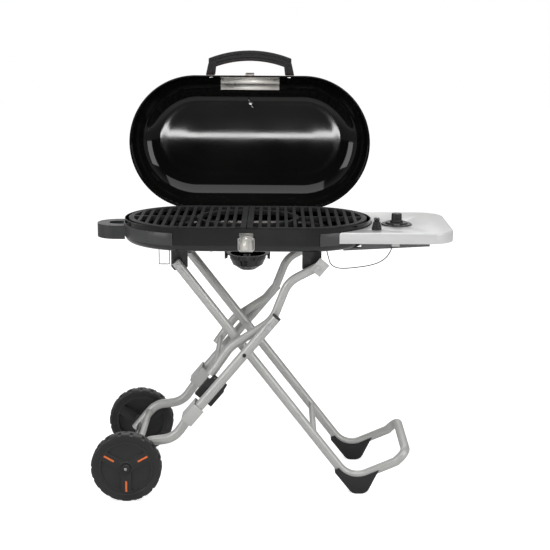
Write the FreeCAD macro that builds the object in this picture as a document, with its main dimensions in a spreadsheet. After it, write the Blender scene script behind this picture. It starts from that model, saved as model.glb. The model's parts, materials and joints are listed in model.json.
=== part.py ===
import FreeCAD, Part
import math
import os
import re
import Sketcher
from FreeCAD import Placement, Rotation, Vector

# Folding trolley grill on a cross-tube stand, shown set up with its lid open.
# Millimetres, +Z up, the cook stands on the -Y side. Every piece is drawn about the middle of the
# firebox, then all are moved together so that the origin lies on the floor under the grill's middle.

SIZES = [
    ("body_length", 636, "firebox outside, along X"),
    ("body_depth", 356, "firebox outside, along Y"),
    ("cooking_height", 706, "firebox rim above the floor"),
    ("pan_height", 59, "firebox from bottom to rim"),
    ("pan_wall", 1.6, "firebox sheet"),
    ("pan_corner", 16, "firebox bottom edge radius"),
    ("drain_radius", 22, "hole over the drip cup"),
    ("lid_length", 655, "lid outside, along X when shut"),
    ("lid_depth", 364, "lid outside, along Y when shut"),
    ("lid_height", 135, "lid from rim to crown"),
    ("lid_wall", 1.6, "lid sheet"),
    ("lid_crown", 70, "radius round the crown"),
    ("lid_lap", 8, "how far the shut lid hangs below the firebox rim"),
    ("open_angle", 91.2, "how far the lid stands open"),
    ("hinge_out", 8, "hinge axis behind the firebox wall"),
    ("hinge_drop", 17, "hinge axis below the rim"),
    ("hinge_spread", 222, "between the two hinges"),
    ("hinge_width", 28, "one hinge along its pin"),
    ("hinge_pin", 2.5, "hinge pin radius"),
    ("knuckle", 5, "hinge knuckle radius"),
    ("leaf", 2, "hinge leaf sheet"),
    ("running", 0.05, "radial clearance of every pin"),
    ("gap", 0.3, "side clearance of pieces that move"),
    ("grate_inset", 9, "grate edge inside the firebox wall"),
    ("grate_rise", 1.6, "grate top above the rim"),
    ("grate_bar", 12, "height of the grate's bars"),
    ("grate_rib", 8, "width of the grate's bars"),
    ("grate_pitch", 22, "from bar to bar"),
    ("grate_frame", 13, "width of the grate's outer ring"),
    ("grate_split", 2, "between the two grates"),
    ("lifter_notch", 56, "width of the front notch for a lifter"),
    ("burner_tube", 9, "burner tube radius"),
    ("burner_length", 400, "burner loop along X"),
    ("burner_depth", 180, "burner loop along Y"),
    ("burner_rise", 15, "burner above the firebox floor"),
    ("pipe", 7, "gas pipe radius"),
    ("band", 3, "end bracket sheet"),
    ("band_low", 8, "end bracket above the firebox bottom"),
    ("band_high", 12, "end bracket below the rim"),
    ("band_reach", 136, "end bracket along X"),
    ("grip_reach", 390, "trolley handle's end from the firebox middle"),
    ("grip_width", 104, "trolley handle across"),
    ("grip_bar", 30, "trolley handle bar, seen from above"),
    ("grip_height", 35, "trolley handle bar, from below to top"),
    ("grip_drop", 16, "trolley handle top below the rim"),
    ("table_end", 519, "table's free end from the firebox middle"),
    ("table_depth", 316, "table across"),
    ("table_drop", 11, "table top below the rim"),
    ("table_lip", 28, "table's turned-down edge"),
    ("table_sheet", 1.5, "table sheet"),
    ("table_edge", 5, "table's top edge radius"),
    ("table_corner", 62, "table's outer corner radius"),
    ("rail_start", 243, "table rails' inner end"),
    ("rail_end", 461, "table rails' outer end"),
    ("rail_spread", 210, "across both table rails"),
    ("rail_width", 14, "one rail"),
    ("rail_deep", 56, "rail's inner end below the table top"),
    ("rail_shallow", 44, "rail's outer end below the table top"),
    ("knob_place", 382, "burner knob along X"),
    ("knob_front", 36, "burner knob in front of the middle"),
    ("knob_radius", 14, "burner knob grip"),
    ("knob_height", 22, "burner knob grip"),
    ("knob_stem", 4, "valve stem radius"),
    ("bezel_radius", 40, "plate under the knob"),
    ("bezel_sheet", 3, "plate under the knob"),
    ("skirt_radius", 28.5, "raised ring under the knob"),
    ("skirt_height", 4, "raised ring under the knob"),
    ("valve_width", 46, "gas valve body"),
    ("valve_depth", 30, "gas valve body"),
    ("valve_height", 48, "gas valve body"),
    ("inlet_radius", 8, "gas inlet nipple"),
    ("inlet_length", 24, "gas inlet nipple"),
    ("igniter_place", 325, "igniter along X"),
    ("igniter_front", 114, "igniter in front of the middle"),
    ("igniter_radius", 12.5, "igniter base"),
    ("igniter_height", 20, "igniter base"),
    ("button_radius", 7, "igniter button"),
    ("button_height", 11, "igniter button above its base"),
    ("button_travel", 4, "igniter button stroke"),
    ("button_stem", 12, "igniter button inside its base"),
    ("cup_radius", 47, "drip cup bowl at its mouth"),
    ("cup_foot", 20, "drip cup bowl at its bottom"),
    ("cup_flange", 56, "drip cup's sliding edge"),
    ("cup_depth", 42, "drip cup"),
    ("cup_drop", 36, "drip cup mouth below the firebox"),
    ("cup_sheet", 1.5, "drip cup sheet"),
    ("latch_width", 34, "front latch"),
    ("latch_height", 40, "front latch lever"),
    ("latch_foot", 5, "latch pivot above the firebox bottom"),
    ("bail_wire", 1.5, "latch bail radius"),
    ("foot_tube", 12, "foot frame tube radius"),
    ("leg_tube", 12.5, "wheel leg tube radius"),
    ("link_tube", 11, "upper link tube radius"),
    ("tube_wall", 1.5, "all frame tubes"),
    ("foot_plane", 123, "foot frame tubes from the middle"),
    ("link_plane", 149, "upper links from the middle"),
    ("leg_plane", 175, "wheel legs from the middle"),
    ("pivot_left", 170, "foot frame pivot, left of the middle"),
    ("pivot_right", 176, "upper link pivot, right of the middle"),
    ("pivot_drop", 46, "foot frame pivot below the firebox"),
    ("link_drop", 43, "upper link pivot below the firebox"),
    ("pivot_pin", 4, "all frame pivots"),
    ("cross_reach", 271, "from foot frame pivot to the crossing"),
    ("knee_reach", 94.4, "from the crossing up to the knee"),
    ("cap_reach", 124, "from the crossing up to the wheel leg's cap"),
    ("leg_reach", 219, "from the crossing down to the joint plate"),
    ("foot_place", 270, "foot bend along X"),
    ("foot_rise", 32, "foot bend above the floor"),
    ("loop_place", 415, "loop end along X"),
    ("loop_rise", 110, "loop end above the floor"),
    ("loop_bend", 42, "loop end bend radius"),
    ("pad_length", 112, "foot pad"),
    ("pad_lip", 4, "foot pad beyond the tube"),
    ("foot_bar", 8, "cross bars of the stand"),
    ("axle_place", 305, "axle, left of the middle"),
    ("wheel_radius", 90, "wheel"),
    ("wheel_width", 38, "tyre"),
    ("wheel_track", 368, "between wheel middles"),
    ("rim_radius", 71, "wheel disc"),
    ("axle_radius", 6, "axle"),
    ("cap_radius", 13, "axle cap"),
    ("lock_length", 44, "lock block"),
    ("lock_width", 54, "lock block"),
    ("lock_thickness", 20, "lock block"),
    ("wire_radius", 1.25, "igniter wire"),
]

doc = FreeCAD.newDocument("folding_camp_grill")
sizes = doc.addObject("Spreadsheet::Sheet", "sizes")
for row, (alias, value, note) in enumerate(SIZES, 1):
    sizes.set("A%d" % row, note)
    sizes.set("B%d" % row, str(value))
    sizes.setAlias("B%d" % row, alias)
doc.recompute()

ALIASES = {alias for alias, value, note in SIZES}


def size(alias):
    return float(sizes.get(alias))


def sheet_text(text):
    """An expression in plain aliases, with each alias pointed at the sheet."""
    return re.sub(r"[a-z_]+", lambda word: ("sizes." if word.group() in ALIASES else "") + word.group(), text)


def bind(item, **texts):
    for name, text in texts.items():
        item.setExpression(name.replace("__", "."), sheet_text(text))


PARTS = {}
LID_PARTS = []


def keep(label, item, on_lid=False):
    """Note a finished sub-part under its own label, with a Placement free for the last move."""
    if any(path.startswith(("Placement", ".Placement")) for path, text in item.ExpressionEngine):
        item = group(label, item)
    item.Label = label
    PARTS[label] = item
    if on_lid:
        LID_PARTS.append(label)
    return item


def place(item, x, y, z):
    bind(item, Placement__Base__x=x, Placement__Base__y=y, Placement__Base__z=z)
    return item


def block(name, length, width, height, x, y, z):
    """A box with one corner at x, y, z."""
    item = doc.addObject("Part::Box", name)
    bind(item, Length=length, Width=width, Height=height)
    return place(item, x, y, z)


TURN = {
    "x": Rotation(Vector(0, 1, 0), 90),
    "y": Rotation(Vector(1, 0, 0), -90),
    "z": Rotation(),
}


def rod(name, radius, length, x, y, z, along="z"):
    """A round bar that starts at x, y, z and runs along an axis."""
    item = doc.addObject("Part::Cylinder", name)
    item.Placement.Rotation = TURN[along]
    bind(item, Radius=radius, Height=length)
    return place(item, x, y, z)


def join(name, *items):
    fused = doc.addObject("Part::MultiFuse", name)
    fused.Shapes = list(items)
    return fused


def group(name, *items):
    """Separate solids that share one node."""
    compound = doc.addObject("Part::Compound", name)
    compound.Links = list(items)
    return compound


def cut(name, base, *tools):
    tool = tools[0] if len(tools) == 1 else group(name + "_tools", *tools)
    cutting = doc.addObject("Part::Cut", name)
    cutting.Base = base
    cutting.Tool = tool
    return cutting


def common(name, *items):
    shared = doc.addObject("Part::MultiCommon", name)
    shared.Shapes = list(items)
    return shared


def drawn(label, shape, on_lid=False):
    """A piece whose shape is swept or turned by Part's own functions."""
    item = doc.addObject("Part::Feature", label)
    item.Shape = shape
    return keep(label, item, on_lid)


def plane_of(body, role):
    return next(item for item in body.Origin.OriginFeatures if item.Role == role)


def slot_sketch(body, name, half_length, half_depth, height):
    """A slot shape, long along X, level at a height."""
    sketch = body.newObject("Sketcher::SketchObject", name)
    sketch.AttachmentSupport = [(plane_of(body, "XY_Plane"), "")]
    sketch.MapMode = "FlatFace"
    reach, radius = 140.0, 178.0
    up, down = Vector(0, 0, 1), math.pi / 2
    sketch.addGeometry(Part.LineSegment(Vector(-reach, radius, 0), Vector(reach, radius, 0)), False)
    right = Part.Circle(Vector(reach, 0, 0), up, radius)
    sketch.addGeometry(Part.ArcOfCircle(right, -down, down), False)
    sketch.addGeometry(Part.LineSegment(Vector(reach, -radius, 0), Vector(-reach, -radius, 0)), False)
    left = Part.Circle(Vector(-reach, 0, 0), up, radius)
    sketch.addGeometry(Part.ArcOfCircle(left, down, 3 * down), False)
    for one, end, other, start in ((0, 2, 1, 2), (1, 1, 2, 1), (2, 2, 3, 2), (3, 1, 0, 1)):
        sketch.addConstraint(Sketcher.Constraint("Tangent", one, end, other, start))
    sketch.addConstraint(Sketcher.Constraint("Equal", 1, 3))
    sketch.addConstraint(Sketcher.Constraint("PointOnObject", 1, 3, -1))
    sketch.addConstraint(Sketcher.Constraint("Symmetric", 1, 3, 3, 3, -1, 1))
    along = sketch.addConstraint(Sketcher.Constraint("DistanceX", -1, 1, 1, 3, reach))
    across = sketch.addConstraint(Sketcher.Constraint("Radius", 1, radius))
    sketch.setExpression("Constraints[%d]" % along, sheet_text("(%s) - (%s)" % (half_length, half_depth)))
    sketch.setExpression("Constraints[%d]" % across, sheet_text(half_depth))
    bind(sketch, AttachmentOffset__Base__z=height)
    return sketch


def level_edges(shape, height):
    """Names of the edges that lie at one height."""
    found = []
    for number, edge in enumerate(shape.Edges, 1):
        box = edge.BoundBox
        if abs(box.ZMin - height) < 0.01 and abs(box.ZMax - height) < 0.01:
            found.append("Edge%d" % number)
    return found


def pad(body, name, sketch, length):
    feature = body.newObject("PartDesign::Pad", name)
    feature.Profile = sketch
    bind(feature, Length=length)
    doc.recompute()
    return feature


def pocket(body, name, sketch, depth, upward=False):
    before = body.Shape.Volume
    feature = body.newObject("PartDesign::Pocket", name)
    feature.Profile = sketch
    feature.Reversed = upward
    bind(feature, Length=depth)
    doc.recompute()
    assert body.Shape.Volume < before - 1, name + " cuts nothing"
    return feature


def round_level(body, name, base, height, radius):
    """Round the edges of base that lie at a height."""
    feature = body.newObject("PartDesign::Fillet", name)
    feature.Base = (base, level_edges(base.Shape, height))
    bind(feature, Radius=radius)
    doc.recompute()
    return feature


def slot_prism(name, half_length, half_depth, low, height):
    """A plain upright slot-shaped solid, used to trim pieces to the firebox."""
    body = doc.addObject("PartDesign::Body", name)
    pad(body, name + "_pad", slot_sketch(body, name + "_outline", half_length, half_depth, low), height)
    return body


def outline(name, points, depth, y):
    """A plate cut to an outline in the XZ plane; depth runs towards +Y from y."""
    sketch = doc.addObject("Sketcher::SketchObject", name + "_outline")
    sketch.Placement = Placement(Vector(), Rotation(Vector(1, 0, 0), 90))
    count = len(points)
    rough = []
    for number in range(count):
        angle = 2 * math.pi * number / count
        rough.append(Vector(40 * math.cos(angle), 40 * math.sin(angle), 0))
    for number in range(count):
        line = Part.LineSegment(rough[number], rough[(number + 1) % count])
        sketch.addGeometry(line, False)
    for number, (across, up) in enumerate(points):
        sketch.addConstraint(Sketcher.Constraint("Coincident", number, 2, (number + 1) % count, 1))
        for kind, text, value in (("DistanceX", across, rough[number].x), ("DistanceY", up, rough[number].y)):
            index = sketch.addConstraint(Sketcher.Constraint(kind, -1, 1, number, 1, value))
            sketch.setExpression("Constraints[%d]" % index, sheet_text(text))
    plate = doc.addObject("Part::Extrusion", name)
    plate.Base = sketch
    plate.DirMode = "Custom"
    plate.Dir = Vector(0, 1, 0)
    plate.Solid = True
    bind(plate, LengthFwd=depth, Placement__Base__y=y)
    return plate


def mirrored(name, item):
    """The same piece on the other side of the XZ plane."""
    other = doc.addObject("Part::Mirroring", name)
    other.Source = item
    other.Normal = Vector(0, 1, 0)
    return other


def both_sides(label, item):
    return keep(label, group(label, item, mirrored(label + "_rear", item)))


def bent_path(points, radii):
    """Straight runs joined by tangent arcs, one radius for each inner point."""
    edges = []
    start = points[0]
    for before, corner, after, radius in zip(points, points[1:], points[2:], radii):
        back = (before - corner).normalize()
        ahead = (after - corner).normalize()
        half = (math.pi - back.getAngle(ahead)) / 2
        set_back = radius * math.tan(half)
        first = corner + back * set_back
        last = corner + ahead * set_back
        to_centre = (back + ahead).normalize() * (radius / math.cos(half))
        middle = corner + to_centre - (back + ahead).normalize() * radius
        edges.append(Part.LineSegment(start, first).toShape())
        edges.append(Part.Arc(first, middle, last).toShape())
        start = last
    edges.append(Part.LineSegment(start, points[-1]).toShape())
    return Part.Wire(edges)


def swept(path, radius):
    """A round bar along a path."""
    start = path.Edges[0]
    direction = start.tangentAt(start.FirstParameter)
    circle = Part.makeCircle(radius, path.Vertexes[0].Point, direction)
    return path.makePipeShell([Part.Wire(circle)], True, False)


def tube(path, radius, wall):
    return swept(path, radius).cut(swept(path, radius - wall))


# Heights and places worked out once from the driving sizes, as sheet expressions.
RIM = "cooking_height"
FLOOR = "(cooking_height - pan_height)"
LID_RIM = "(cooking_height - lid_lap)"
TABLE_TOP = "(cooking_height - table_drop)"
TABLE_UNDER = "(cooking_height - table_drop - table_sheet)"
HINGE_Y = "(body_depth / 2 + hinge_out)"
HINGE_Z = "(cooking_height - hinge_drop)"

rim = size("cooking_height")
pan_floor = rim - size("pan_height")
table_top = rim - size("table_drop")
hinge_axis = Vector(0, size("body_depth") / 2 + size("hinge_out"), rim - size("hinge_drop"))

# ---------------------------------------------------------------- firebox and what is fixed to it


def rounded_slot(name, half_length, half_depth, low, height, rounded_at, radius):
    """A slot-shaped solid with the edges at one height rounded."""
    body = doc.addObject("PartDesign::Body", name)
    base = pad(
        body, name + "_pad", slot_sketch(body, name + "_outline", half_length, half_depth, low), height
    )
    round_level(body, name + "_round", base, rounded_at, radius)
    return body


pan_outside = rounded_slot(
    "pan_outside", "body_length / 2", "body_depth / 2", FLOOR, "pan_height", pan_floor, "pan_corner"
)
pan_inside = rounded_slot(
    "pan_inside",
    "body_length / 2 - pan_wall",
    "body_depth / 2 - pan_wall",
    FLOOR + " + pan_wall",
    "pan_height",
    pan_floor + size("pan_wall"),
    "pan_corner - pan_wall",
)
pan_body = cut("pan_shell", pan_outside, pan_inside)
drain = rod("drain", "drain_radius", "pan_wall * 3", "0", "0", FLOOR + " - pan_wall")
pipe_hole = rod(
    "pipe_hole",
    "pipe + 1",
    "body_length / 4",
    "body_length * 3 / 8",
    "0",
    FLOOR + " + pan_wall + burner_rise + burner_tube",
    "x",
)
keep("firebox_pan", cut("firebox_pan", pan_body, drain, pipe_hole))

# Four rests welded inside the firebox carry the grates.
GRATE_TOP = "(cooking_height + grate_rise)"
GRATE_UNDER = "(cooking_height + grate_rise - grate_bar)"
rests = []
for side, name in ((-1, "left"), (1, "right")):
    rests.append(
        block(
            "rest_" + name,
            "30",
            "grate_inset + grate_frame",
            "12",
            "%d * body_length / 6 - 15" % side,
            "body_depth / 2 - pan_wall - grate_inset - grate_frame",
            GRATE_UNDER + " - 12",
        )
    )
both_sides("grate_rests", group("rests_front", *rests))


def grate_half(label, side):
    """One cast grate: a ring, a long middle bar and cross bars, with an oval sear zone at the split."""
    half_length = size("body_length") / 2 - size("pan_wall") - size("grate_inset")
    half_depth = size("body_depth") / 2 - size("pan_wall") - size("grate_inset")
    rib, ring, pitch = size("grate_rib"), size("grate_frame"), size("grate_pitch")
    bar = size("grate_bar")
    low = rim + size("grate_rise") - bar

    def slot(length, depth, bottom, height):
        reach = length - depth
        middle = Part.makeBox(2 * reach, 2 * depth, height, Vector(-reach, -depth, bottom))
        ends = [Part.makeCylinder(depth, height, Vector(x, 0, bottom)) for x in (-reach, reach)]
        return middle.multiFuse(ends).removeSplitter()

    outer = slot(half_length, half_depth, low, bar)
    bars = [outer.cut(slot(half_length - ring, half_depth - ring, low - 1, bar + 2))]
    zone_length, zone_depth = half_length * 0.43, half_depth * 0.62
    zone = slot(zone_length, zone_depth, low, bar)
    zone_hollow = slot(zone_length - rib, zone_depth - rib, low - 1, bar + 2)
    bars.append(zone.cut(zone_hollow))
    count = int(half_length // pitch)
    for number in range(count + 1):
        x = (number + 0.5) * pitch
        if x < half_length - ring:
            bars.append(
                Part.makeBox(rib, 2 * half_depth, bar, Vector(x - rib / 2, -half_depth, low)).common(outer)
            )
    long_bar = Part.makeBox(half_length, rib, bar, Vector(0, -rib / 2, low)).common(outer)
    bars.append(long_bar.cut(zone_hollow))
    split = size("grate_split") / 2
    edge_bar = Part.makeBox(rib, 2 * half_depth, bar, Vector(split, -half_depth, low)).common(outer)
    bars.append(edge_bar)
    whole = bars[0].multiFuse(bars[1:]).removeSplitter()
    keep_side = Part.makeBox(
        half_length + 1, 2 * half_depth + 2, bar + 2, Vector(split, -half_depth - 1, low - 1)
    )
    whole = whole.common(keep_side)
    notch = size("lifter_notch") / 2
    whole = whole.cut(Part.makeBox(notch, ring - rib / 2, bar + 2, Vector(0, -half_depth - 1, low - 1)))
    if side < 0:
        whole = whole.mirror(Vector(), Vector(1, 0, 0))
    return drawn(label, whole)


grate_half("grate_left", -1)
grate_half("grate_right", 1)

# Burner: an oval loop of tube on two feet, fed from the right through the firebox wall.
burner_z = pan_floor + size("pan_wall") + size("burner_rise") + size("burner_tube")
burner_half = size("burner_length") / 2
burner_round = size("burner_depth") / 2
burner_tube = size("burner_tube")
loop = []
for side in (-1, 1):
    half_ring = Part.makeTorus(burner_round, burner_tube, Vector(), Vector(0, 0, 1), 0, 360, 180)
    half_ring.rotate(Vector(), Vector(0, 0, 1), -90 * side)
    half_ring.translate(Vector(side * (burner_half - burner_round), 0, burner_z))
    loop.append(half_ring)
straight = 2 * (burner_half - burner_round)
for side in (-1, 1):
    start = Vector(-straight / 2, side * burner_round, burner_z)
    loop.append(Part.makeCylinder(burner_tube, straight, start, Vector(1, 0, 0)))
    foot = Part.makeBox(
        24,
        4,
        burner_z - pan_floor - size("pan_wall"),
        Vector(-12, side * burner_round - 2, pan_floor + size("pan_wall")),
    )
    loop.append(foot)
feed_end = burner_half + 30
loop.append(
    Part.makeCylinder(
        size("pipe"), 30 + burner_tube, Vector(burner_half - burner_tube, 0, burner_z), Vector(1, 0, 0)
    )
)
drawn("burner", loop[0].multiFuse(loop[1:]))


def end_band(name, low_x):
    """A dark sheet wrapped round one end of the firebox."""
    ring = cut(
        name + "_ring",
        slot_prism(
            name + "_outside",
            "body_length / 2 + band",
            "body_depth / 2 + band",
            FLOOR + " + pan_corner",
            "pan_height - pan_corner - band_high",
        ),
        slot_prism(name + "_inside", "body_length / 2", "body_depth / 2", FLOOR, "pan_height"),
    )
    window = block(
        name + "_window", "band_reach + band", "body_depth * 2", "pan_height", low_x, "-body_depth", FLOOR
    )
    return common(name, ring, window)


keep("end_bracket_left", end_band("end_bracket_left", "-body_length / 2 - band"))
right_band = end_band("right_band", "body_length / 2 - band_reach")
band_hole = rod(
    "band_hole",
    "pipe + 1",
    "body_length / 4",
    "body_length * 3 / 8",
    "0",
    FLOOR + " + pan_wall + burner_rise + burner_tube",
    "x",
)
keep("end_bracket_right", cut("end_bracket_right", right_band, band_hole))

# Trolley handle on the left end.
grip_outside = slot_prism(
    "grip_outside",
    "grip_reach - body_length / 4",
    "grip_width / 2",
    "cooking_height - grip_drop - grip_height",
    "grip_height",
)
grip_inside = slot_prism(
    "grip_inside",
    "grip_reach - body_length / 4 - grip_bar",
    "grip_width / 2 - grip_bar",
    FLOOR,
    "pan_height",
)
for item in (grip_outside, grip_inside):
    place(item, "-body_length / 4", "0", "0")
body_room = slot_prism("body_room", "body_length / 2 + band", "body_depth / 2 + band", FLOOR, "pan_height")
keep("pull_handle", cut("pull_handle", grip_outside, grip_inside, body_room))

# Side table with its turned-down edge, cut to the firebox end.


def table_block(name, inset, low, height, top_round):
    """A slab with rounded outer corners; its inner end runs under the firebox and is cut away later."""
    body = doc.addObject("PartDesign::Body", name)
    sketch = body.newObject("Sketcher::SketchObject", name + "_outline")
    sketch.AttachmentSupport = [(plane_of(body, "XY_Plane"), "")]
    sketch.MapMode = "FlatFace"
    end = "table_end - %s" % inset
    corners = [("body_length / 4", -1), (end, -1), (end, 1), ("body_length / 4", 1)]
    rough = [Vector(159, -158, 0), Vector(519, -158, 0), Vector(519, 158, 0), Vector(159, 158, 0)]
    for number in range(4):
        sketch.addGeometry(Part.LineSegment(rough[number], rough[(number + 1) % 4]), False)
    for number, (across, side) in enumerate(corners):
        sketch.addConstraint(Sketcher.Constraint("Coincident", number, 2, (number + 1) % 4, 1))
        index = sketch.addConstraint(Sketcher.Constraint("DistanceX", -1, 1, number, 1, rough[number].x))
        sketch.setExpression("Constraints[%d]" % index, sheet_text(across))
        index = sketch.addConstraint(Sketcher.Constraint("DistanceY", -1, 1, number, 1, rough[number].y))
        sketch.setExpression(
            "Constraints[%d]" % index, sheet_text("%d * (table_depth / 2 - %s)" % (side, inset))
        )
    bind(sketch, AttachmentOffset__Base__z=low)
    base = pad(body, name + "_pad", sketch, height)
    corner_edges = []
    for number, edge in enumerate(base.Shape.Edges, 1):
        box = edge.BoundBox
        if box.ZLength > 1 and box.XLength < 0.01 and box.XMin > size("table_end") - 10:
            corner_edges.append("Edge%d" % number)
    corner = body.newObject("PartDesign::Fillet", name + "_corners")
    corner.Base = (base, corner_edges)
    bind(corner, Radius="table_corner - %s" % inset)
    doc.recompute()
    top = max(edge.BoundBox.ZMax for edge in base.Shape.Edges)
    round_level(body, name + "_edge", corner, top, top_round)
    return body


table_outside = table_block("table_outside", "0", TABLE_TOP + " - table_lip", "table_lip", "table_edge")
table_inside = table_block(
    "table_inside",
    "table_sheet",
    TABLE_TOP + " - table_lip - 1",
    "table_lip - table_sheet + 1",
    "table_edge - table_sheet",
)
table_body = cut("table_blank", table_outside, table_inside)
table_room = slot_prism(
    "table_room", "body_length / 2 + band + 1", "body_depth / 2 + band + 1", FLOOR, "pan_height * 2"
)
stem_hole = rod("stem_hole", "knob_stem + 1", "40", "knob_place", "-knob_front", TABLE_TOP + " - 20")
igniter_hole = rod(
    "igniter_hole", "button_radius", "40", "igniter_place", "-igniter_front", TABLE_TOP + " - 20"
)
keep("side_table", cut("side_table", table_body, table_room, stem_hole, igniter_hole))

# Two rails carry the table from under the firebox.
rail_points = [
    ("rail_start", TABLE_TOP + " - rail_deep"),
    ("rail_end", TABLE_TOP + " - rail_shallow"),
    ("rail_end", TABLE_UNDER),
    ("rail_start", TABLE_UNDER),
]
rail = outline("front_rail", rail_points, "rail_width", "-rail_spread / 2")
rail_room = slot_prism(
    "rail_room", "body_length / 2 + band", "body_depth / 2 + band", FLOOR, "pan_height * 2"
)
both_sides("table_rails", cut("front_rail_cut", rail, rail_room))

# Gas valve, its inlet nipple and the pipe to the burner, all under the table.
valve_block = block(
    "valve_block",
    "valve_width",
    "valve_depth",
    "valve_height",
    "knob_place - valve_width / 2",
    "-knob_front - valve_depth / 2",
    TABLE_UNDER + " - valve_height",
)
stem_bore = rod("stem_bore", "knob_stem + running", "20", "knob_place", "-knob_front", TABLE_UNDER + " - 16")
keep("gas_valve", cut("gas_valve", valve_block, stem_bore))
INLET_Z = "(cooking_height - table_drop - table_sheet - valve_height + inlet_radius)"
nipple = rod(
    "nipple", "inlet_radius", "inlet_length", "knob_place + valve_width / 2", "-knob_front", INLET_Z, "x"
)
nipple_bore = rod(
    "nipple_bore",
    "inlet_radius / 2",
    "inlet_length",
    "knob_place + valve_width / 2 + 2",
    "-knob_front",
    INLET_Z,
    "x",
)
keep("gas_inlet", cut("gas_inlet", nipple, nipple_bore))

valve_left = size("knob_place") - size("valve_width") / 2
valve_z = table_top - size("table_sheet") - size("valve_height") / 2
pipe_points = [
    Vector(feed_end, 0, burner_z),
    Vector((size("body_length") / 2 + valve_left) / 2 - 6, 0, burner_z),
    Vector((size("body_length") / 2 + valve_left) / 2 + 6, -size("knob_front"), valve_z),
    Vector(valve_left, -size("knob_front"), valve_z),
]
drawn("gas_pipe", swept(bent_path(pipe_points, [12, 12]), size("pipe")))

# Knob plate and igniter base on the table.
bezel_disc = rod("bezel_disc", "bezel_radius", "bezel_sheet", "knob_place", "-knob_front", TABLE_TOP)
bezel_ring = rod(
    "bezel_ring", "skirt_radius", "skirt_height", "knob_place", "-knob_front", TABLE_TOP + " + bezel_sheet"
)
bezel_bore = rod("bezel_bore", "knob_stem + 1", "40", "knob_place", "-knob_front", TABLE_TOP + " - 10")
keep("knob_bezel", cut("knob_bezel", join("bezel_whole", bezel_disc, bezel_ring), bezel_bore))
KNOB_LOW = "(cooking_height - table_drop + bezel_sheet + skirt_height + gap)"
knob_body = doc.addObject("PartDesign::Body", "knob_grip")


def round_sketch(body, name, radius, height, x="0", y="0"):
    sketch = body.newObject("Sketcher::SketchObject", name)
    sketch.AttachmentSupport = [(plane_of(body, "XY_Plane"), "")]
    sketch.MapMode = "FlatFace"
    sketch.addGeometry(Part.Circle(Vector(0, 0, 0), Vector(0, 0, 1), 10), False)
    across = sketch.addConstraint(Sketcher.Constraint("Radius", 0, 10))
    sketch.addConstraint(Sketcher.Constraint("Coincident", 0, 3, -1, 1))
    sketch.setExpression("Constraints[%d]" % across, sheet_text(radius))
    bind(sketch, AttachmentOffset__Base__x=x, AttachmentOffset__Base__y=y, AttachmentOffset__Base__z=height)
    return sketch


knob_pad = pad(
    knob_body, "knob_pad", round_sketch(knob_body, "knob_circle", "knob_radius", "0"), "knob_height"
)
flute = pocket(
    knob_body,
    "knob_flute",
    round_sketch(knob_body, "knob_flute_circle", "knob_radius / 9", "knob_height", "knob_radius * 1.03"),
    "knob_height * 0.85",
)
flutes = knob_body.newObject("PartDesign::PolarPattern", "knob_flutes")
flutes.Originals = [flute]
flutes.Axis = (next(item for item in knob_body.Origin.OriginFeatures if item.Role == "Z_Axis"), [""])
flutes.Angle = 360
flutes.Occurrences = 18
knob_body.Tip = flutes
place(knob_body, "knob_place", "-knob_front", KNOB_LOW)
knob_stem = rod(
    "knob_stem_rod",
    "knob_stem",
    "bezel_sheet + skirt_height + gap + table_sheet + 14",
    "knob_place",
    "-knob_front",
    TABLE_UNDER + " - 14",
)
keep("control_knob", join("control_knob", knob_body, knob_stem))

igniter_low = rod("igniter_low", "igniter_radius", "8", "igniter_place", "-igniter_front", TABLE_TOP)
igniter_top = rod(
    "igniter_top", "igniter_radius - 2", "igniter_height", "igniter_place", "-igniter_front", TABLE_TOP
)
igniter_bore = rod(
    "igniter_bore",
    "button_radius + running",
    "igniter_height",
    "igniter_place",
    "-igniter_front",
    TABLE_TOP + " + igniter_height - button_stem - button_travel",
)
keep("igniter_base", cut("igniter_base", join("igniter_whole", igniter_low, igniter_top), igniter_bore))
keep(
    "igniter_button",
    rod(
        "igniter_button",
        "button_radius",
        "button_stem + button_height",
        "igniter_place",
        "-igniter_front",
        TABLE_TOP + " + igniter_height - button_stem",
    ),
)

# Drip cup, which slides forward out of two hooked rails under the firebox.
cup_mouth = pan_floor - size("cup_drop")
sheet_cup = size("cup_sheet")
cup_outer = [
    Vector(0, 0, cup_mouth - size("cup_depth")),
    Vector(size("cup_foot"), 0, cup_mouth - size("cup_depth")),
    Vector(size("cup_radius") - 8, 0, cup_mouth - size("cup_depth") * 0.7),
    Vector(size("cup_radius"), 0, cup_mouth - size("cup_depth") * 0.3),
    Vector(size("cup_radius"), 0, cup_mouth - sheet_cup),
    Vector(size("cup_flange"), 0, cup_mouth - sheet_cup),
    Vector(size("cup_flange"), 0, cup_mouth),
    Vector(size("cup_radius") - sheet_cup, 0, cup_mouth),
    Vector(size("cup_radius") - sheet_cup, 0, cup_mouth - size("cup_depth") * 0.3),
    Vector(size("cup_radius") - 8 - sheet_cup, 0, cup_mouth - size("cup_depth") * 0.7 + sheet_cup),
    Vector(size("cup_foot") - 1, 0, cup_mouth - size("cup_depth") + sheet_cup),
    Vector(0, 0, cup_mouth - size("cup_depth") + sheet_cup),
]
cup_face = Part.Face(Part.makePolygon(cup_outer + [cup_outer[0]]))
drawn("drip_cup", cup_face.revolve(Vector(), Vector(0, 0, 1), 360))
rail_side = block(
    "cup_rail_side",
    "2",
    "cup_flange * 2",
    "cup_drop + cup_sheet + 4",
    "cup_flange + gap",
    "-cup_flange",
    FLOOR + " - cup_drop - cup_sheet - 4",
)
rail_hook = block(
    "cup_rail_hook",
    "6",
    "cup_flange * 2",
    "2",
    "cup_flange + gap - 5",
    "-cup_flange",
    FLOOR + " - cup_drop - cup_sheet - gap - 2",
)
cup_rail = join("cup_rail", rail_side, rail_hook)
left_rail = doc.addObject("Part::Mirroring", "cup_rail_left")
left_rail.Source = cup_rail
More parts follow.
